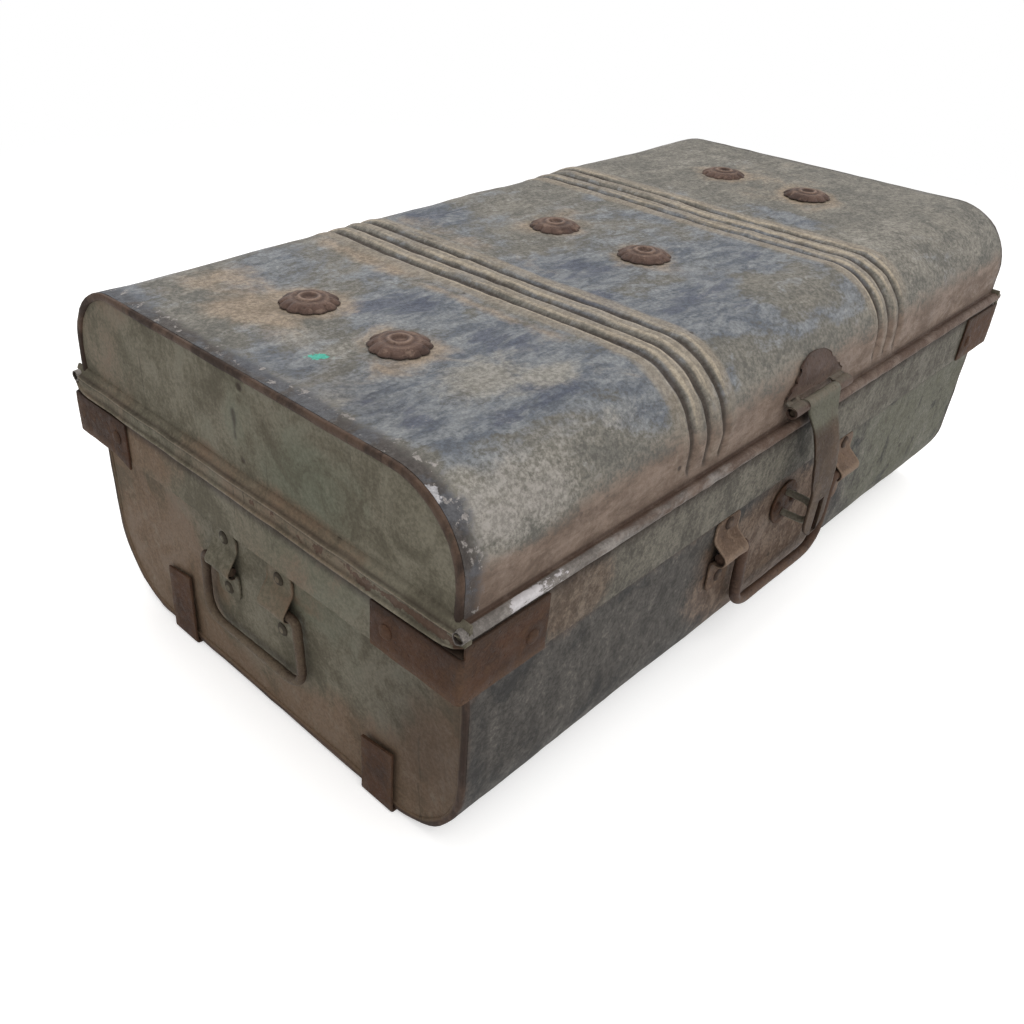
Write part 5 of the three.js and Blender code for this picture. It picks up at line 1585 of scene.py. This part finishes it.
class TRUNK_OT_hasp(bpy.types.Operator):
    """The hasp: its leaf on the lid, the slotted strap that hangs over the front, and the pin"""

    bl_idname = "trunk.hasp"
    bl_label = "Hasp"

    def execute(self, context):
        axis = pivot_of("hasp_swing")
        self.strap(axis)
        self.leaf(axis)
        self.pin()
        return {"FINISHED"}

    def pin(self):
        """The pin, a little shorter than its loops, rubbed between them, with painted shade on its ends."""
        pin = copy_of("hasp_pin", "hasp_pin")
        finish(pin, bevel=0.0003, smooth=60)
        low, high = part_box("hasp_pin")
        left, right = low.x + 0.0012, high.x - 0.0012
        mould(pin, lambda place, normal: Vector((clamp(place.x, left, right), *place.yz)))
        # Painted shade on the pin's ends, down in its loops
        ends = np.abs(points_of(pin)[:, 0] - (low.x + high.x) / 2) > 0.034
        mark(pin, "worn", 0.5 * (~ends))
        mark(pin, "shade", 0.8 * ends)
        settle(pin, body_of("hasp_pin"), "worn_steel", finish_named("pin steel"), "hasp_pin")

    def leaf(self, axis):
        """A fan-shaped sheet on the lid with a wavy outline, its foot rolled into two loops round the pin."""
        low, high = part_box("hasp_leaf")
        half, loop, notch, sunk = (high.x - low.x) / 2, 0.0039, 0.0208, 0.0016
        foot, wall = axis.z + 0.0045, MID_Y - LID_Y
        wide = [half, 0.0345, 0.0310, 0.0275, 0.0240, 0.0209, 0.0160, 0.0110, 0.0060]
        columns = [-a for a in wide] + [0] + wide[::-1]
        rows = []
        for share, climb in reversed(LEAF_OUTLINE):
            z = foot + 0.0005 + climb * (high.z - foot - 0.0005)
            curve = LID_CORNER - math.sqrt(LID_CORNER ** 2 - max(0, z - LID_TOP + LID_CORNER) ** 2)
            rows.append([Vector((axis.x + a * share, wall + curve - sunk, z)) for a in columns])
        roll = [(-0.0032, 0.0036), (-0.0012, 0.0042)]
        roll += [(loop * math.sin(t), loop * math.cos(t)) for t in map(math.radians, spread(5, 290, 18))]
        for out, up in roll:
            rows.append([Vector((axis.x + a, axis.y - out, axis.z + up)) for a in columns])
        piece = loft("hasp_leaf", rows)
        face_outwards(piece, Vector((axis.x, wall - sunk, foot + 0.01)), Vector((0, -1, 0)))
        bpy.ops.object.mode_set(mode="EDIT")

        def in_notch(place):
            """Between the two loops, where the strap turns on the pin."""
            rolled = (place.yz - axis.yz).length < 0.0052 or place.z < foot
            return rolled and abs(place.x - axis.x) < notch

        pick(in_notch)
        bpy.ops.mesh.delete(type="FACE")
        bpy.ops.object.mode_set(mode="OBJECT")
        finish(piece, thickness=0.0014, bevel=0.0003, smooth=50)
        wear(piece, 0.0004, 0.010, 2)
        p = points_of(piece)
        x, y, z = (p - np.array(axis)).T
        rim = bump(p[:, 2] - foot - 0.002, 0.003)
        mark(piece, "worn", np.maximum(0.6 * rim, 0.5 * bump(y + loop, 0.0015)))
        # Green-grey paint along the tops of the loops, also standing in for a painted highlight there
        mark(piece, "moss", 0.9 * bump(z - 0.0048, 0.0018) * (np.abs(x) > notch))
        # Painted shade inside the loops and along the leaf's top edge
        bore = np.hypot(y, z) < 0.0030
        mark(piece, "shade", np.maximum(0.5 * bump(p[:, 2] - high.z, 0.003), 0.8 * bore))
        settle(piece, body_of("hasp_leaf"), "rusty_steel", finish_named("leaf rust"), "hasp_leaf")

    def strap_widths(self, drop):
        """How far the strap reaches to the left and to the right of its axis, at a drop below the pin."""
        half, right_half, left_half, tip = 0.0205, 0.0112, 0.0160, 0.0052
        left = right = half
        if drop > 0.0040:
            right = max(right_half, half - (drop - 0.0040) / 0.0085 * 0.0093)
        if drop > 0.0537:
            left = max(left_half, half - (drop - 0.0537) / 0.008 * 0.0045)
        if drop > 0.0855:
            taper = math.sqrt(max(0, 1 - ((drop - 0.0855) / 0.0142) ** 2))
            left, right = max(tip, left * taper), max(tip, right * taper)
        return left, right

    def strap(self, axis):
        """The strap: curled round the pin, draped over the lid's foot, and slotted near its tip."""
        curl = [(0.004 * math.cos(t), -0.004 * math.sin(t)) for t in map(math.radians, spread(215, 10, 14))]
        hang, slot_top, slot_foot, slot_half = 0.0201, 0.0713, 0.0977, 0.004
        slotted = (0.0695, slot_top, 0.0765, 0.0815, 0.0870, 0.0925, slot_foot, 0.0984, 0.0990)
        hanging = [*DRAPE, *((hang, drop) for drop in slotted)]
        outer = (1, 0.86, 0.7, 0.52, 0.34, 0.16)
        rows = []
        for out, drop in curl + hanging:
            left, right = self.strap_widths(drop)
            across = [-slot_half - (left - slot_half) * share for share in outer]
            across += [-slot_half, -0.002, 0, 0.002, slot_half]
            across += [slot_half + (right - slot_half) * share for share in reversed(outer)]
            rows.append([axis + Vector((a, 0.0006 * (out > 0.018) - out, -drop)) for a in across])
        piece = loft("hasp_strap", rows)
        face_outwards(piece, axis + Vector((0.01, -hang, -0.065)), Vector((0, -1, 0)))
        bpy.ops.object.mode_set(mode="EDIT")
        pick(lambda place: abs(place.x - axis.x) < slot_half and slot_top < axis.z - place.z < slot_foot)
        bpy.ops.mesh.delete(type="FACE")
        bpy.ops.object.mode_set(mode="OBJECT")
        finish(piece, thickness=0.0016, bevel=0.00035)
        wear(piece, 0.0007, 0.020, 4, lambda place: 1.0 if axis.z - place.z > 0.012 else 0.2)
        wear(piece, 0.0002, 0.005, 2)
        p = points_of(piece)
        x, drop = p[:, 0] - axis.x, axis.z - p[:, 2]
        # The top of the curl is rubbed pale and carries a painted highlight
        top = 0.9 * bump(drop + 0.0030, 0.0022)
        mark(piece, "worn", np.maximum(top, 0.35 * bump(x - 0.0108, 0.0014) * (drop > 0.01)))
        mark(piece, "moss", (0.017 - drop) / 0.004)
        # Painted shadow on the strap's inner edge, where it stands off the wall, and painted shade at its tip
        outs, drops = zip(*hanging)
        depth = np.interp(drop, drops, outs) - (axis.y - p[:, 1])
        back = np.clip((depth - 0.0006) / 0.0006, 0, 1) * (drop > 0.006)
        mark(piece, "shade", np.maximum(back, 0.5 * bump(drop - 0.099, 0.004)))
        settle(piece, "hasp", "rusty_steel", finish_named("hasp paint"), "hasp_strap")


class TRUNK_OT_staple(bpy.types.Operator):
    """The wire staple under the hasp, and its riveted plate"""

    bl_idname = "trunk.staple"
    bl_label = "Staple"

    def execute(self, context):
        backing = copy_of("staple_plate", "staple_plate")
        finish(backing, bevel=0.0004, smooth=50)
        wear(backing, 0.0003, 0.007, 5)
        low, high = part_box("staple_plate")
        p = points_of(backing)
        away = np.hypot(p[:, 0] - (low.x + high.x) / 2, p[:, 2] - (low.z + high.z) / 2)
        mark(backing, "worn", 0.6 * bump(away - 0.0165, 0.0012))
        mark(backing, "shade", 0.6 * bump(away - 0.012, 0.003))
        settle(backing, "tub", "rusty_steel", finish_named("strap rust"), "staple_plate")

        low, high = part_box("staple")
        radius = 0.0025
        half, reach = (high.z - low.z) / 2 - radius, high.y - low.y - radius
        root = Vector(((low.x + high.x) / 2, high.y, (low.z + high.z) / 2))
        corners = [(0, -half, 0), (reach, -half, half * 0.95), (reach, half, half * 0.95), (0, half, 0)]
        path = fill_in(bent(corners), 0.003)
        piece = wire("staple", path, lambda along, out, up: root + Vector((out, -along, up)), radius, 12)
        wear(piece, 0.0002, 0.004, 3)
        mark(piece, "worn", 0.7)
        settle(piece, "tub", "rusty_steel", finish_named("pin steel"), "staple")
        return {"FINISHED"}


class TRUNK_OT_hinges(bpy.types.Operator):
    """The two back hinges, with softened edges, rust and rubbed pins"""

    bl_idname = "trunk.hinges"
    bl_label = "Hinges"

    def execute(self, context):
        for name, side in SIDES:
            for part, seed in (("base_leaf", 1), ("lid_leaf", 4)):
                node = f"hinge_{part}_{name}"
                piece = copy_of(node, node)
                finish(piece, bevel=0.0003, smooth=50)
                wear(piece, 0.0003, 0.009, seed + side)
                low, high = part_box(node)
                mould(piece, lambda place, normal: Vector((place.x, min(high.y, place.y), place.z)))
                p = points_of(piece)
                edge = np.minimum(np.abs(p[:, 0] - low.x), np.abs(p[:, 0] - high.x))
                mark(piece, "worn", 0.6 * bump(edge, 0.0014))
                # Painted shade where the leaf lies against the trunk
                mark(piece, "shade", 0.4 * bump(p[:, 1] - low.y, 0.0008))
                settle(piece, body_of(node), "rusty_steel", finish_named("strap rust"), node)
            node = f"hinge_pin_{name}"
            pin = copy_of(node, node)
            finish(pin, bevel=0.0003, smooth=60)
            mark(pin, "worn", 0.5)
            settle(pin, body_of(node), "worn_steel", finish_named("pin steel"), node)
        return {"FINISHED"}


class TRUNK_OT_stage(bpy.types.Operator):
    """The floor, the soft lamps and the camera"""

    bl_idname = "trunk.stage"
    bl_label = "Stage"

    def execute(self, context):
        self.floor(context)
        self.world(context)
        self.lamps(context)
        self.camera(context)
        context.scene.view_settings.view_transform = "Standard"
        return {"FINISHED"}

    def floor(self, context):
        """A pale paper floor that keeps the trunk's shadow and fades to white away from it."""
        bpy.ops.object.select_all(action="DESELECT")
        bpy.ops.mesh.primitive_plane_add(size=12, location=(0, 0, 0))
        floor = context.object
        floor.name = "floor"
        paper = bpy.data.materials.new("paper")
        paper.use_nodes = True
        tree = paper.node_tree
        shader = tree.nodes["Principled BSDF"]
        inputs = {
            "Base Color": (0.86, 0.86, 0.86), "Roughness": 0.9, "Specular IOR Level": 0.0,
            "Emission Color": (1, 1, 1), "Emission Strength": self.when_seen(tree, 0.42),
        }
        for name, value in inputs.items():
            feed(tree, shader.inputs[name], value)
        place = add_node(tree, "ShaderNodeTexCoord").outputs["Object"]
        away = add_node(tree, "ShaderNodeVectorMath", {0: place}, operation="LENGTH").outputs["Value"]
        limits = {"From Min": 0.55, "From Max": 1.5, "Value": away}
        fade = add_node(tree, "ShaderNodeMapRange", limits, interpolation_type="SMOOTHSTEP").outputs[0]
        factors = {0: self.when_seen(tree, 1.0), 1: fade}
        seen = add_node(tree, "ShaderNodeMath", factors, operation="MULTIPLY").outputs[0]
        glow = add_node(tree, "ShaderNodeEmission", {"Color": (1, 1, 1), "Strength": 1.0})
        blend = add_node(tree, "ShaderNodeMixShader", {0: seen, 1: shader.outputs[0], 2: glow.outputs[0]})
        feed(tree, tree.nodes["Material Output"].inputs[0], blend.outputs[0])
        floor.data.materials.append(paper)

    def world(self, context):
        """Soft light from all round, and plain white where the world itself is seen."""
        world = bpy.data.worlds.new("studio")
        context.scene.world = world
        world.use_nodes = True
        tree = world.node_tree
        tree.nodes.clear()
        light = add_node(tree, "ShaderNodeBackground", {"Color": (1.0, 0.98, 0.955), "Strength": 0.60})
        white = add_node(tree, "ShaderNodeBackground", {"Color": (1, 1, 1), "Strength": 1.0})
        inputs = {0: self.when_seen(tree, 1.0), 1: light.outputs[0], 2: white.outputs[0]}
        mix = add_node(tree, "ShaderNodeMixShader", inputs)
        add_node(tree, "ShaderNodeOutputWorld", {0: mix.outputs[0]})

    def lamps(self, context):
        """Four soft lamps, each aimed at the middle of the trunk."""
        for name, place, width, power in (
            ("key", (-0.9, -1.6, 2.2), 1.6, 26),
            ("fill", (1.8, -1.2, 1.2), 1.6, 8),
            ("top", (0.2, 0.4, 2.6), 2.2, 22),
            ("back", (0.6, 2.2, 1.4), 1.6, 8),
        ):
            data = bpy.data.lights.new(name, "AREA")
            data.energy = power
            data.size = width
            lamp = bpy.data.objects.new(name, data)
            lamp.location = place
            aim = Vector((0, 0, 0.12)) - Vector(place)
            lamp.rotation_euler = aim.to_track_quat("-Z", "Y").to_euler()
            context.scene.collection.objects.link(lamp)

    def camera(self, context):
        """A camera whose focal length and middle are given in points of a picture 1024 points wide."""
        points, focal, middle_x, middle_y = 1024, 1003.99, 438.369, 496.978
        place = Vector((-0.599156, -0.414753, 0.492708))
        turn = Vector((2.0314796, -0.8107681, 0.4887185))
        data = bpy.data.cameras.new("camera")
        camera = bpy.data.objects.new("camera", data)
        context.scene.collection.objects.link(camera)
        seen = Matrix.Rotation(turn.length, 3, turn.normalized())
        axes = Matrix((seen[0], -Vector(seen[1]), -Vector(seen[2]))).transposed()
        camera.matrix_world = Matrix.Translation(place) @ axes.to_4x4()
        data.sensor_width = 36
        data.sensor_fit = "HORIZONTAL"
        data.lens = focal / points * 36
        data.shift_x = (points / 2 - middle_x) / points
        data.shift_y = (middle_y - points / 2) / points
        data.clip_start = 0.01
        context.scene.camera = camera

    def when_seen(self, tree, strength):
        """A strength that counts only for what the camera sees, straight or by way of metal and glass."""
        ray = add_node(tree, "ShaderNodeLightPath").outputs
        total = ray["Is Camera Ray"]
        for name in ("Is Glossy Ray", "Is Transmission Ray"):
            total = add_node(tree, "ShaderNodeMath", {0: total, 1: ray[name]}, operation="MAXIMUM").outputs[0]
        return add_node(tree, "ShaderNodeMath", {0: total, 1: strength}, operation="MULTIPLY").outputs[0]


class TRUNK_PT_tools(bpy.types.Panel):
    """Lists the trunk's pieces"""

    bl_idname = "TRUNK_PT_tools"
    bl_label = "Travel trunk"
    bl_space_type = "VIEW_3D"
    bl_region_type = "UI"
    bl_category = "Trunk"

    def draw(self, context):
        for group in (context.scene.trunk_sizes, context.scene.trunk_colours):
            for key in group.__annotations__:
                self.layout.prop(group, key)
        for piece in OPERATORS:
            self.layout.operator(piece.bl_idname)


OPERATORS = (
    TRUNK_OT_lid_sheet, TRUNK_OT_lid_ends, TRUNK_OT_tub_sheet, TRUNK_OT_tub_ends, TRUNK_OT_corner_brackets,
    TRUNK_OT_skid_straps, TRUNK_OT_rosettes, TRUNK_OT_rivets, TRUNK_OT_handles, TRUNK_OT_hasp,
    TRUNK_OT_staple, TRUNK_OT_hinges, TRUNK_OT_stage,
)
CLASSES = (TrunkSizes, TrunkColours, *OPERATORS, TRUNK_PT_tools)


def register():
    for part in CLASSES:
        bpy.utils.register_class(part)
    bpy.types.Scene.trunk_sizes = PointerProperty(type=TrunkSizes)
    bpy.types.Scene.trunk_colours = PointerProperty(type=TrunkColours)


def unregister():
    del bpy.types.Scene.trunk_sizes
    del bpy.types.Scene.trunk_colours
    for part in reversed(CLASSES):
        bpy.utils.unregister_class(part)


def main():
    register()
    for piece in OPERATORS:
        group, name = piece.bl_idname.split(".")
        getattr(getattr(bpy.ops, group), name)()


if __name__ == "__main__":
    main()
